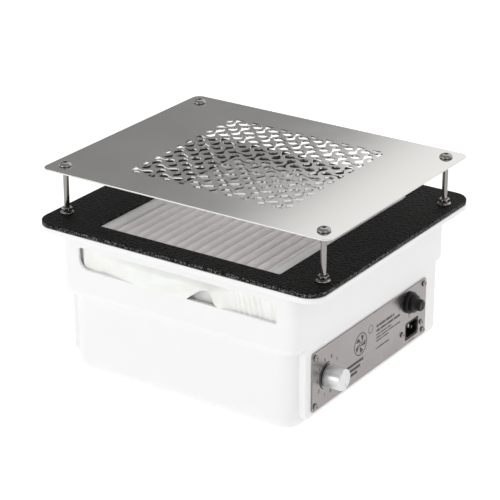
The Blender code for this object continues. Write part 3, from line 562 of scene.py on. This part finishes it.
def carve(piece, tools):
    """Cut or join (bmesh, operation, turn, place) tools into a piece."""
    used = []
    for number, (bm, operation, turn, place) in enumerate(tools):
        tool = to_object(f"{piece.name}_tool_{number}", bm, turn, place)
        modifier = piece.modifiers.new(tool.name, "BOOLEAN")
        modifier.operation = operation
        modifier.solver = "EXACT"
        modifier.object = tool
        used.append(tool)
    return settle(piece, used)


def round_edges(piece, width):
    modifier = piece.modifiers.new("edges", "BEVEL")
    modifier.width = width
    modifier.segments = 2
    modifier.limit_method = "ANGLE"
    modifier.angle_limit = math.radians(40)
    modifier.use_clamp_overlap = True
    return settle(piece)


def dress(piece, slot, body, *replaced, smooth=35):
    """Give a finished piece its material and shading, and tie it to its CAD body."""
    piece.data.materials.clear()
    piece.data.materials.append(LOOKS[slot])
    piece.data.shade_smooth()
    piece.data.set_sharp_from_angle(angle=math.radians(smooth))
    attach(piece, body)
    if replaced:
        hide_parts(*replaced)
    return piece


# ---- casing ------------------------------------------------------------------
def make_tub():
    top = TUB[1].z
    lip_x, lip_y = TUB[1].x, TUB[1].y
    hem = LIP_SKIRT
    lip_inside, lip_bottom = top - WALL, top - 6 * MM
    keys = [
        ((BODY[0] - BASE_FILLET, BODY[1] - BASE_FILLET, BODY[2] - BASE_FILLET, 0), 0),
        ((*BODY, 0), BASE_FILLET),
        ((*BODY, BODY_TOP), 2 * MM),
        ((*BAND, BAND_BOTTOM), 3 * MM),
        ((*BAND, lip_inside), 2 * MM),
        ((lip_x - hem, lip_y - hem, LIP_RADIUS - hem, lip_inside), 0.6 * MM),
        ((lip_x - hem, lip_y - hem, LIP_RADIUS - hem, lip_bottom), 0.3 * MM),
        ((lip_x, lip_y, LIP_RADIUS, lip_bottom), 1.4 * MM),
        ((lip_x, lip_y, LIP_RADIUS, top), 1.2 * MM),
        ((BAND[0] - WALL, BAND[1] - WALL, BAND[2] - WALL, top), 0.6 * MM),
        ((BAND[0] - WALL, BAND[1] - WALL, BAND[2] - WALL, BAND_BOTTOM + WALL), 3 * MM),
        ((BODY[0] - WALL, BODY[1] - WALL, BODY[2] - WALL, BODY_TOP + WALL), 3 * MM),
        ((BODY[0] - WALL, BODY[1] - WALL, BODY[2] - WALL, WALL), BASE_FILLET - WALL),
        ((BODY[0] - BASE_FILLET, BODY[1] - BASE_FILLET, 8 * MM, WALL), 0),
    ]
    profile = soften([key for key, _ in keys], [radius for _, radius in keys])
    tub = to_object("tub_shell", loft([rounded(x, y, r, z) for x, y, r, z in profile]))

    tools = []
    face = BAND[0]
    centre = (0, (PAD_BOTTOM + BAND_BOTTOM + 4 * MM) / 2)
    tall = (BAND_BOTTOM + 4 * MM - PAD_BOTTOM) / 2
    root = BODY[0] - WALL / 2
    for side in (-1, 1):
        rim = soften([(0, root), (0, face), (PAD_HALF_WIDTH, face)], [0, 1.8 * MM, 0], 5)[:-1]
        loops = [rounded(PAD_HALF_WIDTH - inset, tall - inset, 7 * MM - inset, 0, centre, 8)
                 for inset, _ in rim]
        raised = loft([[Vector((p.x, p.y, side * height)) for p in loop]
                       for loop, (_, height) in zip(loops, rim)])
        tools.append((raised, "UNION", FACING_X, (0, 0, 0)))
        inner = rounded(PAD_HALF_WIDTH - WALL, tall - WALL - 2 * MM, 4 * MM, 0, (0, centre[1] - 2 * MM), 6)
        hollow = loft([[Vector((p.x, p.y, side * h)) for p in inner] for h in (root - 3 * WALL, face - WALL)])
        tools.append((hollow, "DIFFERENCE", FACING_X, (0, 0, 0)))

    front = -BAND[1]
    flare = soften([(1.2 * MM, front - 3 * MM), (1.2 * MM, front), (0, front), (0, front + 8 * MM)],
                   [0, 0, 1.1 * MM, 0], 4)
    loops = []
    for grow, depth in flare:
        grown = framed((SLOT_LOW[0] - grow, SLOT_LOW[1] - grow), (SLOT_HIGH[0] + grow, SLOT_HIGH[1] + grow),
                       [radius + grow for radius in SLOT_RADII], 0, 8)
        loops.append([Vector((p.x, depth, p.y)) for p in grown])
    tools.append((loft(loops), "DIFFERENCE", None, (0, 0, 0)))

    window = block((face - 2 * WALL, WINDOW_Y[0], WINDOW_Z[0]), (face + WALL, WINDOW_Y[1], WINDOW_Z[1]))
    tools.append((window, "DIFFERENCE", None, (0, 0, 0)))
    inlet_y, inlet_z = (INLET[0].y + INLET[1].y) / 2, (INLET[0].z + INLET[1].z) / 2
    half_u, half_v = (INLET[1].y - INLET[0].y) / 2 + 1.2 * MM, (INLET[1].z - INLET[0].z) / 2 + 1.2 * MM
    mouth = [rounded(half_u, half_v, half_v - 0.4 * MM, h) for h in (face - 2 * WALL, face + WALL)]
    tools.append((loft(mouth), "DIFFERENCE", FACING_X, (0, inlet_y, inlet_z)))
    for number in (1, 2, 3, 4):
        low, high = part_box(f"panel_screw_{number}")
        hole = turned(((1.7 * MM, face - 2 * WALL), (1.7 * MM, face + WALL)), 24)
        tools.append((hole, "DIFFERENCE", FACING_X, (0, (low.y + high.y) / 2, (low.z + high.z) / 2)))
        low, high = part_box(f"motor_screw_{number}")
        sink = turned(((5 * MM, -1 * MM), (5 * MM, 1 * MM), (2.4 * MM, 3.2 * MM), (2.4 * MM, 6 * MM)), 32)
        tools.append((sink, "DIFFERENCE", None, ((low.x + high.x) / 2, (low.y + high.y) / 2, 0)))
        low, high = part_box(f"rim_screw_{number}")
        hole = turned(((1.9 * MM, lip_bottom - WALL), (1.9 * MM, top + WALL)), 24)
        tools.append((hole, "DIFFERENCE", None, ((low.x + high.x) / 2, (low.y + high.y) / 2, 0)))
    for place in LEG_PLACES:
        hole = turned(((LEG_HOLE, lip_bottom - WALL), (LEG_HOLE, top + WALL)), 32)
        tools.append((hole, "DIFFERENCE", None, (place.x, place.y, 0)))
    carve(tub, tools)
    dress(tub, "white_shell", "casing", "tub", smooth=28)


def make_top_plate():
    low, high = PLATE
    outline = rounded(high.x, high.y, LIP_RADIUS, 0, steps=20)
    centre = ((FILTER[0].x + FILTER[1].x) / 2, (FILTER[0].y + FILTER[1].y) / 2)
    clearance = 0.75 * MM
    half_x = (FILTER[1].x - FILTER[0].x) / 2 + clearance
    half_y = (FILTER[1].y - FILTER[0].y) / 2 + clearance
    holes = [rounded(half_x, half_y, OPENING_RADIUS, 0, centre, 4)]
    holes += [circle(LEG_HOLE, 0, 32, (place.x, place.y)) for place in LEG_PLACES]
    plate = to_object("black_top", sheet(outline, holes, low.z, high.z - low.z, 1.0 * MM))
    dress(plate, "black_plate", "casing", "top_plate", smooth=8)


# ---- hand rest ---------------------------------------------------------------
def arc(centre, radius, start, end, steps):
    """Points of an arc between two angles in degrees, both ends included."""
    angles = (math.radians(start + (end - start) * i / steps) for i in range(steps + 1))
    return [(centre[0] + radius * math.cos(a), centre[1] + radius * math.sin(a)) for a in angles]


def clipped(points, half):
    """A polygon cut back to the square from -half to half on both axes."""
    for axis in (0, 1):
        for sign in (1, -1):
            kept = []
            for a, b in zip(points, points[1:] + points[:1]):
                da, db = half - sign * a[axis], half - sign * b[axis]
                if da >= 0:
                    kept.append(a)
                if da * db < 0:
                    kept.append(a.lerp(b, da / (da - db)))
            points = kept
    return points


def waisted_slot(centre, upright):
    """Two round lobes joined by a waist whose sides run round the neighbours' lobes at an even strip."""
    near = SLOT_PITCH - SLOT_LOBE
    lobe_radius = (math.hypot(SLOT_LOBE, near) - SLOT_STRIP) / 2
    tangent = math.degrees(math.atan2(SLOT_LOBE, near))
    quarter = arc((near, 0), lobe_radius + SLOT_STRIP, 180, 180 - tangent, 6)[:-1]
    quarter += arc((0, SLOT_LOBE), lobe_radius, -tangent, 90, 9)
    upper = quarter + [(-u, v) for u, v in quarter[-2::-1]]
    outline = upper + [(-u, -v) for u, v in upper[1:-1]]
    turned_over = [Vector((u, v) if upright else (v, -u)) + Vector(centre) for u, v in outline]
    return [point + Vector((FIELD_X, 0)) for point in clipped(turned_over, SLOT_CELLS * SLOT_PITCH / 2)]


def make_grille():
    low, high = GRILLE
    outline = rounded(high.x, high.y, GRILLE_RADIUS, 0, steps=16)
    first = -(SLOT_CELLS - 1) / 2
    holes = [circle(LEG_HOLE, 0, 32, (place.x, place.y)) for place in LEG_PLACES]
    for column in range(-1, SLOT_CELLS + 1):
        for row in range(-1, SLOT_CELLS + 1):
            upright = (column + row) % 2 == 1
            beside, beyond = column in (-1, SLOT_CELLS), row in (-1, SLOT_CELLS)
            if beside and beyond or beside and upright or beyond and not upright:
                continue
            centre = ((first + column) * SLOT_PITCH, (first + row) * SLOT_PITCH)
            holes.append(waisted_slot(centre, upright))
    plate = to_object("perforated_rest", sheet(outline, holes, low.z, high.z - low.z, 0.25 * MM))
    dress(plate, "hand_rest_steel", "hand_rest", "grille_plate", smooth=8)


def make_leg(number, place):
    """Domed socket-head leg, its dark collar under the plate and the flange nut on the black plate."""
    low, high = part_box(f"grille_screw_{number}")
    seat, top = GRILLE[1].z + GAP, high.z
    head = soften([(LEG_RADIUS, seat), (7 * MM, seat), (7 * MM, seat + 1.1 * MM), (5.2 * MM, top - 0.35 * MM),
                   (2.6 * MM, top)], [0, 0.3 * MM, 0.5 * MM, 1.6 * MM, 0], 5)
    loops = [circle(LEG_RADIUS - 0.6 * MM, low.z, 60), circle(LEG_RADIUS, low.z + 0.6 * MM, 60)]
    loops += [circle(radius, height, 60) for radius, height in head]
    loops += [hexagon(4 * MM, top, limit=2.4 * MM), hexagon(4 * MM, top - 2 * MM)]
    leg = to_object(f"leg_{number}", loft(loops), None, (place.x, place.y, 0))
    dress(leg, "bright_fasteners", "hand_rest", f"grille_screw_{number}", smooth=30)

    ring_top = GRILLE[0].z - GAP
    cone = soften([(LEG_HOLE, ring_top), (5.6 * MM, ring_top), (4.3 * MM, ring_top - 4.5 * MM),
                   (LEG_HOLE, ring_top - 4.5 * MM)], [0, 0.6 * MM, 0.6 * MM, 0], 3)
    collar = to_object(f"collar_{number}", turned(cone, 48, True), None, (place.x, place.y, 0))
    dress(collar, "collars", "hand_rest", f"grille_collar_{number}")

    base = PLATE[1].z + GAP
    flange = soften([(LEG_HOLE, base), (7.2 * MM, base), (7.2 * MM, base + 0.9 * MM),
                     (5.9 * MM, base + 1.9 * MM)], [0, 0.2 * MM, 0.4 * MM, 0], 4)
    loops = [circle(radius, height, 60) for radius, height in flange]
    loops.append(hexagon(10 * MM, base + 2.0 * MM))
    loops += [hexagon(10 * MM, base + h * MM, limit=r * MM) for h, r in ((5.2, 5.75), (5.6, 5.3), (5.9, 4.9))]
    loops += [circle(4.4 * MM, base + 6.1 * MM, 60), circle(3.9 * MM, base + 6.1 * MM, 60),
              circle(LEG_HOLE, base + 5.6 * MM, 60)]
    nut = to_object(f"nut_{number}", loft(loops, True), None, (place.x, place.y, 0))
    dress(nut, "bright_fasteners", "hand_rest", f"flange_nut_{number}", smooth=30)


# ---- filter ------------------------------------------------------------------
def make_filter():
    low, high = FILTER
    centre = ((low.x + high.x) / 2, (low.y + high.y) / 2)
    half_x, half_y = (high.x - low.x) / 2, (high.y - low.y) / 2
    inner_x, inner_y = (MEDIA[1].x - MEDIA[0].x) / 2 + GAP, (MEDIA[1].y - MEDIA[0].y) / 2 + GAP
    outer = rounded(half_x, half_y, 1.5 * MM, 0, centre, 4)
    inner = rounded(inner_x, inner_y, 1 * MM, 0, centre, 4)
    surround = to_object("filter_surround", sheet(outer, [inner], low.z, high.z - low.z))
    round_edges(surround, 0.5 * MM)
    dress(surround, "filter_surround", "filter", "filter_frame")

    pleats, across, along, skin = 16, 16, 40, 1.1 * MM
    last = pleats * across
    low, high = MEDIA
    pitch = (high.x - low.x) / pleats
    depth = 13 * MM
    bm = bmesh.new()
    rows = []
    for j in range(along + 1):
        y = low.y + (high.y - low.y) * j / along
        row = []
        for i in range(last + 1):
            s = i / across
            inside = abs((s % 1) - 0.5) * 2
            sway = 0.5 * MM * noise.noise(Vector((s * 0.9, y * 18, 3.1)))
            lift = 0.7 * MM * noise.noise(Vector((math.floor(s) * 1.7, y * 14, 9.7)))
            edge = min(i, last - i) / across
            x = low.x + pitch * s + (sway if edge > 0.4 else 0)
            z = high.z - 0.6 * MM + lift * (1 - inside) - depth * inside ** 3.2
            row.append((x, y, z))
        rows.append(row)
    upper = [[bm.verts.new(point) for point in row] for row in rows]
    lower = [[bm.verts.new((x, y, z - skin)) for x, y, z in row] for row in rows]
    for j in range(along):
        for i in range(last):
            bm.faces.new((upper[j][i], upper[j][i + 1], upper[j + 1][i + 1], upper[j + 1][i]))
            bm.faces.new((lower[j][i], lower[j + 1][i], lower[j + 1][i + 1], lower[j][i + 1]))
    for j in range(along):
        for i in (0, last):
            bm.faces.new((upper[j][i], upper[j + 1][i], lower[j + 1][i], lower[j][i]))
    for i in range(last):
        for j in (0, along):
            bm.faces.new((upper[j][i], lower[j][i], lower[j][i + 1], upper[j][i + 1]))
    media = to_object("pleated_media", bm)
    dress(media, "filter_paper", "filter", "filter_media", smooth=60)


# ---- exhaust cloth -----------------------------------------------------------
def smooth_step(value, start, end):
    t = min(max((value - start) / (end - start), 0), 1)
    return t * t * (3 - 2 * t)


def slot_left_edge(z):
    """X of the exhaust slot's left edge at a height, round its large lower corner."""
    radius = SLOT_RADII[2]
    below = min(max(SLOT_LOW[1] + radius - z, 0), radius)
    return SLOT_LOW[0] + radius - math.sqrt(radius * radius - below * below)


def cloth_grid(name, place, columns, rows):
    """A sheet from place(u, v), both from 0 to 1, given a real thickness."""
    bm = bmesh.new()
    grid = [[bm.verts.new(place(i / columns, j / rows)) for i in range(columns + 1)] for j in range(rows + 1)]
    for j in range(rows):
        for i in range(columns):
            bm.faces.new((grid[j][i], grid[j][i + 1], grid[j + 1][i + 1], grid[j + 1][i]))
    cloth = to_object(name, bm)
    modifier = cloth.modifiers.new("thickness", "SOLIDIFY")
    modifier.thickness = CLOTH_THICKNESS
    modifier.offset = 0
    return settle(cloth)


def make_cloth():
    """The exhaust slot's cloth: a front layer with a lifted fold in its hem, over an inner layer."""
    span = SLOT_HIGH[0] - SLOT_LOW[0]
    inside = CLOTH[0].y

    def front(u, v):
        top, bottom = CLOTH[1].z - 1 * MM, SLOT_LOW[1]
        right = CLOTH[1].x - 1 * MM
        share = 0.02 + u * (right - SLOT_LOW[0]) / span
        arch = smooth_step(share, 0.545, 0.68) * (1 - smooth_step(share, 0.69, 0.728))
        swell = smooth_step(share, 0.10, 0.34) * (1 - smooth_step(share, 0.71, 0.80))
        hem = bottom - 0.7 * MM - 8 * MM * (1 - smooth_step(swell, 0.1, 0.6)) + 17 * MM * arch
        z = top + (hem - top) * v
        left = slot_left_edge(z) + 3.4 * MM * smooth_step(z, SLOT_LOW[1] - 1 * MM, SLOT_LOW[1] + 11 * MM)
        x = left + u * (right - left)
        open_part = smooth_step(z, SLOT_HIGH[1] + 0.5 * MM, SLOT_HIGH[1] - 7 * MM)
        gathers = smooth_step(share, 0.79, 0.83) * (1 - 0.7 * smooth_step(share, 0.92, 0.96))
        ripple = gathers * math.sin(share * span / MM * math.tau / 6.5 + 1.3 * math.sin(z * 190)) * 0.7 * MM
        faint = (1 - swell) * noise.noise(Vector((x * 160, z * 26, 4.2))) * 0.9 * MM
        creases = swell * noise.noise(Vector((x * 22, (z - 0.3 * x) * 120, 7.9))) * 1.1 * MM
        billow = swell * open_part * (3.6 * MM + 1.4 * MM * smooth_step(v, 0.2, 0.9))
        fold = 1.6 * MM * arch * smooth_step(v, 0.5, 1.0)
        fade = smooth_step(z, CLOTH[0].z, SLOT_LOW[1] - 1 * MM) * open_part
        y = inside + 0.5 * MM - billow - fold + (ripple + faint + creases) * (0.25 + 0.75 * fade)
        return (x, y, z)

    def inner(u, v):
        left = CLOTH[0].x + 1 * MM
        x = left + u * (CLOTH[1].x - 1 * MM - left)
        z = CLOTH[1].z - 1 * MM + v * (CLOTH[0].z - CLOTH[1].z + 2 * MM)
        wave = noise.noise(Vector((x * 90, z * 20, 1.4))) * 0.9 * MM
        return (x, inside + 3.9 * MM + wave, z)

    front_cloth = cloth_grid("cloth_front", front, 260, 44)
    dress(front_cloth, "exhaust_cloth", "casing", "exhaust_cloth", smooth=70)
    inner_cloth = cloth_grid("cloth_inner", inner, 160, 24)
    dress(inner_cloth, "exhaust_cloth", "casing", smooth=70)


# ---- control panel -----------------------------------------------------------
def middle(node):
    low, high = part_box(node)
    return (low + high) / 2


def pan_screw(name, node, radius, rise):
    """A pan head screw with a cross recess, pointing out of the panel."""
    low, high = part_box(node)
    seat = PANEL[1].x + GAP
    head = soften([(1.45 * MM, seat), (radius, seat), (radius, seat + 0.7 * MM), (radius * 0.72, seat + rise),
                   (1.9 * MM, seat + rise)], [0, 0.15 * MM, 0.4 * MM, 0.7 * MM, 0], 4)
    loops = [circle(1.0 * MM, low.x, 64), circle(1.45 * MM, low.x + 0.5 * MM, 64)]
    loops += [circle(r, h, 64) for r, h in head]
    top = seat + rise
    loops += [cross(1.7 * MM, 0.45 * MM, top - 0.02 * MM), cross(1.1 * MM, 0.35 * MM, top - 1.1 * MM)]
    centre = (low + high) / 2
    screw = to_object(name, loft(loops), FACING_X, (0, centre.y, centre.z))
    dress(screw, "bright_fasteners", "casing", node, smooth=30)


def make_panel():
    low, high = PANEL
    centre = ((low.y + high.y) / 2, (low.z + high.z) / 2)
    knob, fuse, inlet = middle("speed_knob"), middle("fuse_holder"), middle("power_inlet")
    outline = rounded((high.y - low.y) / 2, (high.z - low.z) / 2, 3 * MM, 0, centre, 8)
    screws = [f"panel_screw_{n}" for n in (1, 2, 3, 4)] + ["inlet_screw_1", "inlet_screw_2"]
    holes = [circle(1.8 * MM, 0, 24, (p.y, p.z)) for p in map(middle, screws)]
    holes += [circle(radius, 0, 32, (p.y, p.z)) for radius, p in ((4.6 * MM, knob), (6.6 * MM, fuse))]
    holes.append(rounded(13.9 * MM, 10.4 * MM, 3 * MM, 0, (inlet.y, inlet.z), 6))
    bm = sheet(outline, holes, low.x, high.x - low.x, 0.25 * MM)
    panel = to_object("panel_plate", bm, FACING_X)
    dress(panel, "panel_steel", "casing", "control_panel", smooth=8)
    for number in (1, 2, 3, 4):
        pan_screw(f"panel_fixing_{number}", f"panel_screw_{number}", 3.4 * MM, 1.9 * MM)
    for number in (1, 2):
        pan_screw(f"inlet_fixing_{number}", f"inlet_screw_{number}", 3.2 * MM, 1.8 * MM)


def make_knob():
    front = PANEL[1].x
    centre = middle("speed_knob")
    end = KNOB[1].x
    radius = (KNOB[1].z - KNOB[0].z) / 2
    profile = soften([(3.3 * MM, end - 2.6 * MM), (3.3 * MM, front + 5 * MM), (9 * MM, front + 5 * MM),
                      (9 * MM, front + 0.6 * MM), (radius, front + 0.6 * MM), (radius, front + 2.4 * MM),
                      (radius * 0.95, end - 0.6 * MM), (radius * 0.87, end), (1 * MM, end)],
                     [0, 0, 0, 0.2 * MM, 0.3 * MM, 1.2 * MM, 0.9 * MM, 0.7 * MM, 0], 5)
    knob = to_object("knob", turned(profile, 96), FACING_X, (0, centre.y, centre.z))
    turn = Matrix.Rotation(math.radians(DIAL_START), 4, "X")
    groove = block((end - 0.5 * MM, radius * 0.35, -0.5 * MM), (end + 1 * MM, radius * 1.2, 0.5 * MM))
    carve(knob, [(groove, "DIFFERENCE", turn, (0, centre.y, centre.z))])
    dress(knob, "knob_grey", "knob", "speed_knob", smooth=30)


def make_fuse():
    centre = middle("fuse_holder")
    back, mouth = HOLDER[0].x, HOLDER[1].x
    seat = PANEL[1].x + GAP
    holder = soften([(6.2 * MM, back), (6.2 * MM, seat), (12 * MM, seat), (12 * MM, mouth - 0.9 * MM),
                     (10.8 * MM, mouth), (4 * MM, mouth), (4 * MM, back + 3 * MM)],
                    [0, 0, 0.3 * MM, 0.6 * MM, 0.5 * MM, 0.3 * MM, 0], 4)
    body = to_object("fuse_body", turned(holder, 72), FACING_X, (0, centre.y, centre.z))
    dress(body, "black_plastic", "casing", "fuse_holder", smooth=30)

    low, high = CAP
    rim, count = mouth + GAP, 96
    cap = soften([(3.6 * MM, low.x), (3.6 * MM, rim), (9.6 * MM, rim), (9.6 * MM, mouth + 4.2 * MM),
                  (6.7 * MM, mouth + 5.4 * MM), (6.3 * MM, high.x - 0.9 * MM), (5.2 * MM, high.x)],
                 [0, 0, 0.3 * MM, 0.8 * MM, 0.8 * MM, 0.6 * MM, 0.3 * MM], 4)
    loops = []
    for radius, height in cap:
        loop = circle(radius, height, count)
        if height > mouth + 6 * MM and radius > 6 * MM:
            grip = [1 - 0.035 * (i % 4 == 0) for i in range(count)]
            loop = [Vector((p.x * k, p.y * k, p.z)) for p, k in zip(loop, grip)]
        loops.append(loop)
    piece = to_object("fuse_cap_grip", loft(loops), FACING_X, (0, centre.y, centre.z))
    slot = block((high.x - 1.2 * MM, centre.y - 0.7 * MM, centre.z - 4 * MM),
                 (high.x + 1 * MM, centre.y + 0.7 * MM, centre.z + 4 * MM))
    carve(piece, [(slot, "DIFFERENCE", None, (0, 0, 0))])
    dress(piece, "black_plastic", "fuse", "fuse_cap", smooth=30)


def make_inlet():
    centre = middle("power_inlet")
    front = INLET[1].x
    back = PANEL[0].x - GAP
    half_u, half_v = (INLET[1].y - INLET[0].y) / 2, (INLET[1].z - INLET[0].z) / 2
    steps = 6

    def ring(half_x, half_y, radius, height):
        return rounded(half_x * MM, half_y * MM, radius * MM, height, steps=steps)

    shell, mouth = (13.5, 10, 3), (11.5, 7.9, 4.0)          # half width, half height, corner radius
    loops = [ring(*shell, INLET[0].x), ring(*shell, back - 3 * MM)]
    loops += [rounded(half_u, half_v, half_v - 0.4 * MM, h, steps=steps) for h in (back - 3 * MM, back)]
    loops += [ring(*shell, back), ring(*shell, front - 0.4 * MM), ring(13.1, 9.6, 2.6, front)]
    loops += [ring(11.8, 8.2, 4.2, front), ring(*mouth, front - 0.3 * MM), ring(*mouth, front - 18 * MM)]
    body = to_object("mains_inlet", loft(loops), FACING_X, (0, centre.y, centre.z))
    tools = []
    for name in ("inlet_pin_line", "inlet_pin_neutral", "inlet_pin_earth"):
        low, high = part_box(name)
        margin = Vector((1, 0.4, 0.4)) * MM
        tools.append((block(low - margin, high + margin), "DIFFERENCE", None, (0, 0, 0)))
    for side in (-1, 1):
        hole = turned(((1.8 * MM, back - 6 * MM), (1.8 * MM, back + 3 * MM)), 24)
        tools.append((hole, "DIFFERENCE", FACING_X, (0, centre.y + side * INLET_SCREW_PITCH / 2, centre.z)))
    carve(body, tools)
    dress(body, "black_plastic", "casing", "power_inlet", smooth=30)


def flat_print(name, outlines):
    """Dark printed marks as very thin solids on the panel; each outline is a loop of (Y, Z)."""
    joined = bmesh.new()
    base = PANEL[1].x + 0.01 * MM
    for outline in outlines:
        low = [joined.verts.new((u, v, base)) for u, v in outline]
        high = [joined.verts.new((u, v, base + PRINT_THICKNESS)) for u, v in outline]
        joined.faces.new(low)
        joined.faces.new(high)
        for i in range(len(outline)):
            j = (i + 1) % len(outline)
            joined.faces.new((low[i], low[j], high[j], high[i]))
    marks = to_object(name, joined, FACING_X)
    dress(marks, "black_plastic", "casing", smooth=30)
    marks.data.materials.clear()
    marks.data.materials.append(INK)


def bar(u, v, width, height):
    return [(u - width / 2, v - height / 2), (u + width / 2, v - height / 2),
            (u + width / 2, v + height / 2), (u - width / 2, v + height / 2)]


def crescent(centre, radius, start, end, thick, steps=24):
    """An arc that swells from a point to `thick` in its middle."""
    outer, inner = [], []
    for i in range(steps + 1):
        share = i / steps
        angle = math.radians(start + (end - start) * share)
        half = thick * (0.12 + 0.88 * math.sin(math.pi * share)) / 2
        for side, out in ((1, outer), (-1, inner)):
            reach = radius + side * half
            out.append((centre[0] + reach * math.cos(angle), centre[1] + reach * math.sin(angle)))
    return outer + inner[::-1]


def ring_outlines(centre, radius, thick, parts=8):
    """A circle drawn as touching arc pieces, since a printed outline has no hole in it."""
    out = []
    for part in range(parts):
        start = 360 * part / parts
        outer = arc(centre, radius + thick / 2, start, start + 360 / parts, 6)
        inner = arc(centre, radius - thick / 2, start, start + 360 / parts, 6)
        out.append(outer + inner[::-1])
    return out


SEGMENTS = ("abcdef", "bc", "abged", "abgcd", "fgbc", "afgcd", "afgedc", "abc", "abcdefg")


def digit_outlines(number, u, v, size):
    """A dial number drawn from straight strokes."""
    width, stroke = size * 0.55, size * 0.22
    strokes = {
        "a": (0, size / 2, width, stroke), "g": (0, 0, width, stroke), "d": (0, -size / 2, width, stroke),
        "f": (-width / 2, size / 4, stroke, size / 2), "b": (width / 2, size / 4, stroke, size / 2),
        "e": (-width / 2, -size / 4, stroke, size / 2), "c": (width / 2, -size / 4, stroke, size / 2)}
    return [bar(u + du, v + dv, w, h) for du, dv, w, h in map(strokes.get, SEGMENTS[number])]


def make_print():
    knob, fuse, inlet = middle("speed_knob"), middle("fuse_holder"), middle("power_inlet")
    dial = [crescent((knob.y, knob.z), 14.5 * MM, 236, 76, 4.6 * MM)]
    for number in range(len(SEGMENTS)):
        angle = DIAL_START - DIAL_STEP * number
        u = knob.y + DIAL_RADIUS * math.cos(math.radians(angle))
        v = knob.z + DIAL_RADIUS * math.sin(math.radians(angle))
        dial += digit_outlines(number, u, v, 3.2 * MM)
    flat_print("dial_print", dial)

    fan = (PANEL[0].y + 92 * MM, PANEL[0].z + 40 * MM)
    picture = ring_outlines(fan, 12 * MM, 1.1 * MM) + ring_outlines(fan, 1.9 * MM, 1.1 * MM, 4)
    for blade in range(5):
        turn = 72 * blade + 20
        root = arc(fan, 3.4 * MM, turn, turn + 26, 3)
        tip = arc(fan, 9.6 * MM, turn + 30, turn + 66, 6)
        picture.append(root + tip[::-1])
    flow = (PANEL[0].y + 63 * MM, PANEL[0].z + 22 * MM)
    for row, length in enumerate((35, 29, 23)):
        picture.append(bar(flow[0] + length * MM / 2, flow[1] - row * 5.4 * MM, length * MM, 3.0 * MM))
    picture += ring_outlines((fan[0] + 20 * MM, fan[1] + 9 * MM), 4.2 * MM, 0.7 * MM)
    flat_print("pictogram_print", picture)

    lines = []
    rows = ((47.5, 3.0, 36, 0.5), (42.3, 2.6, 48, 0.45), (37.6, 1.5, 30, 0.35), (34.0, 1.5, 50, 0.35),
            (30.4, 1.5, 26, 0.35), (22.0, 1.6, 26, 0.35))
    for row, (rise, tall, length, gap) in enumerate(rows):
        u = 3.0 * MM
        end = u + length * MM
        step = 0
        while u < end:
            width = (0.9 + 0.5 * ((step * 7 + row * 3) % 4)) * MM
            lines.append(bar(u + width / 2, PANEL[0].z + rise * MM, width, tall * MM))
            u += width + gap * MM + (1.2 * MM if (step * 5 + row) % 6 == 5 else 0)
            step += 1
    flat_print("rule_print", lines)

    symbols = ring_outlines((fuse.y - 21 * MM, fuse.z + 1 * MM), 2.0 * MM, 0.4 * MM, 6)
    symbols.append(bar(fuse.y, fuse.z - 15.5 * MM, 0.5 * MM, 5 * MM))
    symbols += [bar(fuse.y, fuse.z - 15.5 * MM + s * 1.3 * MM, 3.0 * MM, 0.35 * MM) for s in (-1, 1)]
    symbols.append(bar(inlet.y, inlet.z - 13.4 * MM, 12 * MM, 0.8 * MM))
    flat_print("symbol_print", symbols)


# ---- the CAD nodes that stay -------------------------------------------------
def dress_frame():
    slots = {part["node"]: part["material_slot"] for part in frame["record"]["subparts"]}
    for name, node in frame["nodes"].items():
        node.data.materials.clear()
        node.data.materials.append(LOOKS[slots[name]])


bpy.context.scene.view_settings.view_transform = "Standard"
LOOKS = make_looks()
INK = plain_look("panel_ink", (0.03, 0.025, 0.025), 0.5, 0.3 * MM, 0.005 * MM)
make_camera()
make_world()
make_stage()
dress_frame()
make_tub()
make_top_plate()
make_grille()
for leg_number, leg_place in enumerate(LEG_PLACES, 1):
    make_leg(leg_number, leg_place)
make_filter()
make_cloth()
make_panel()
make_knob()
make_fuse()
make_inlet()
make_print()
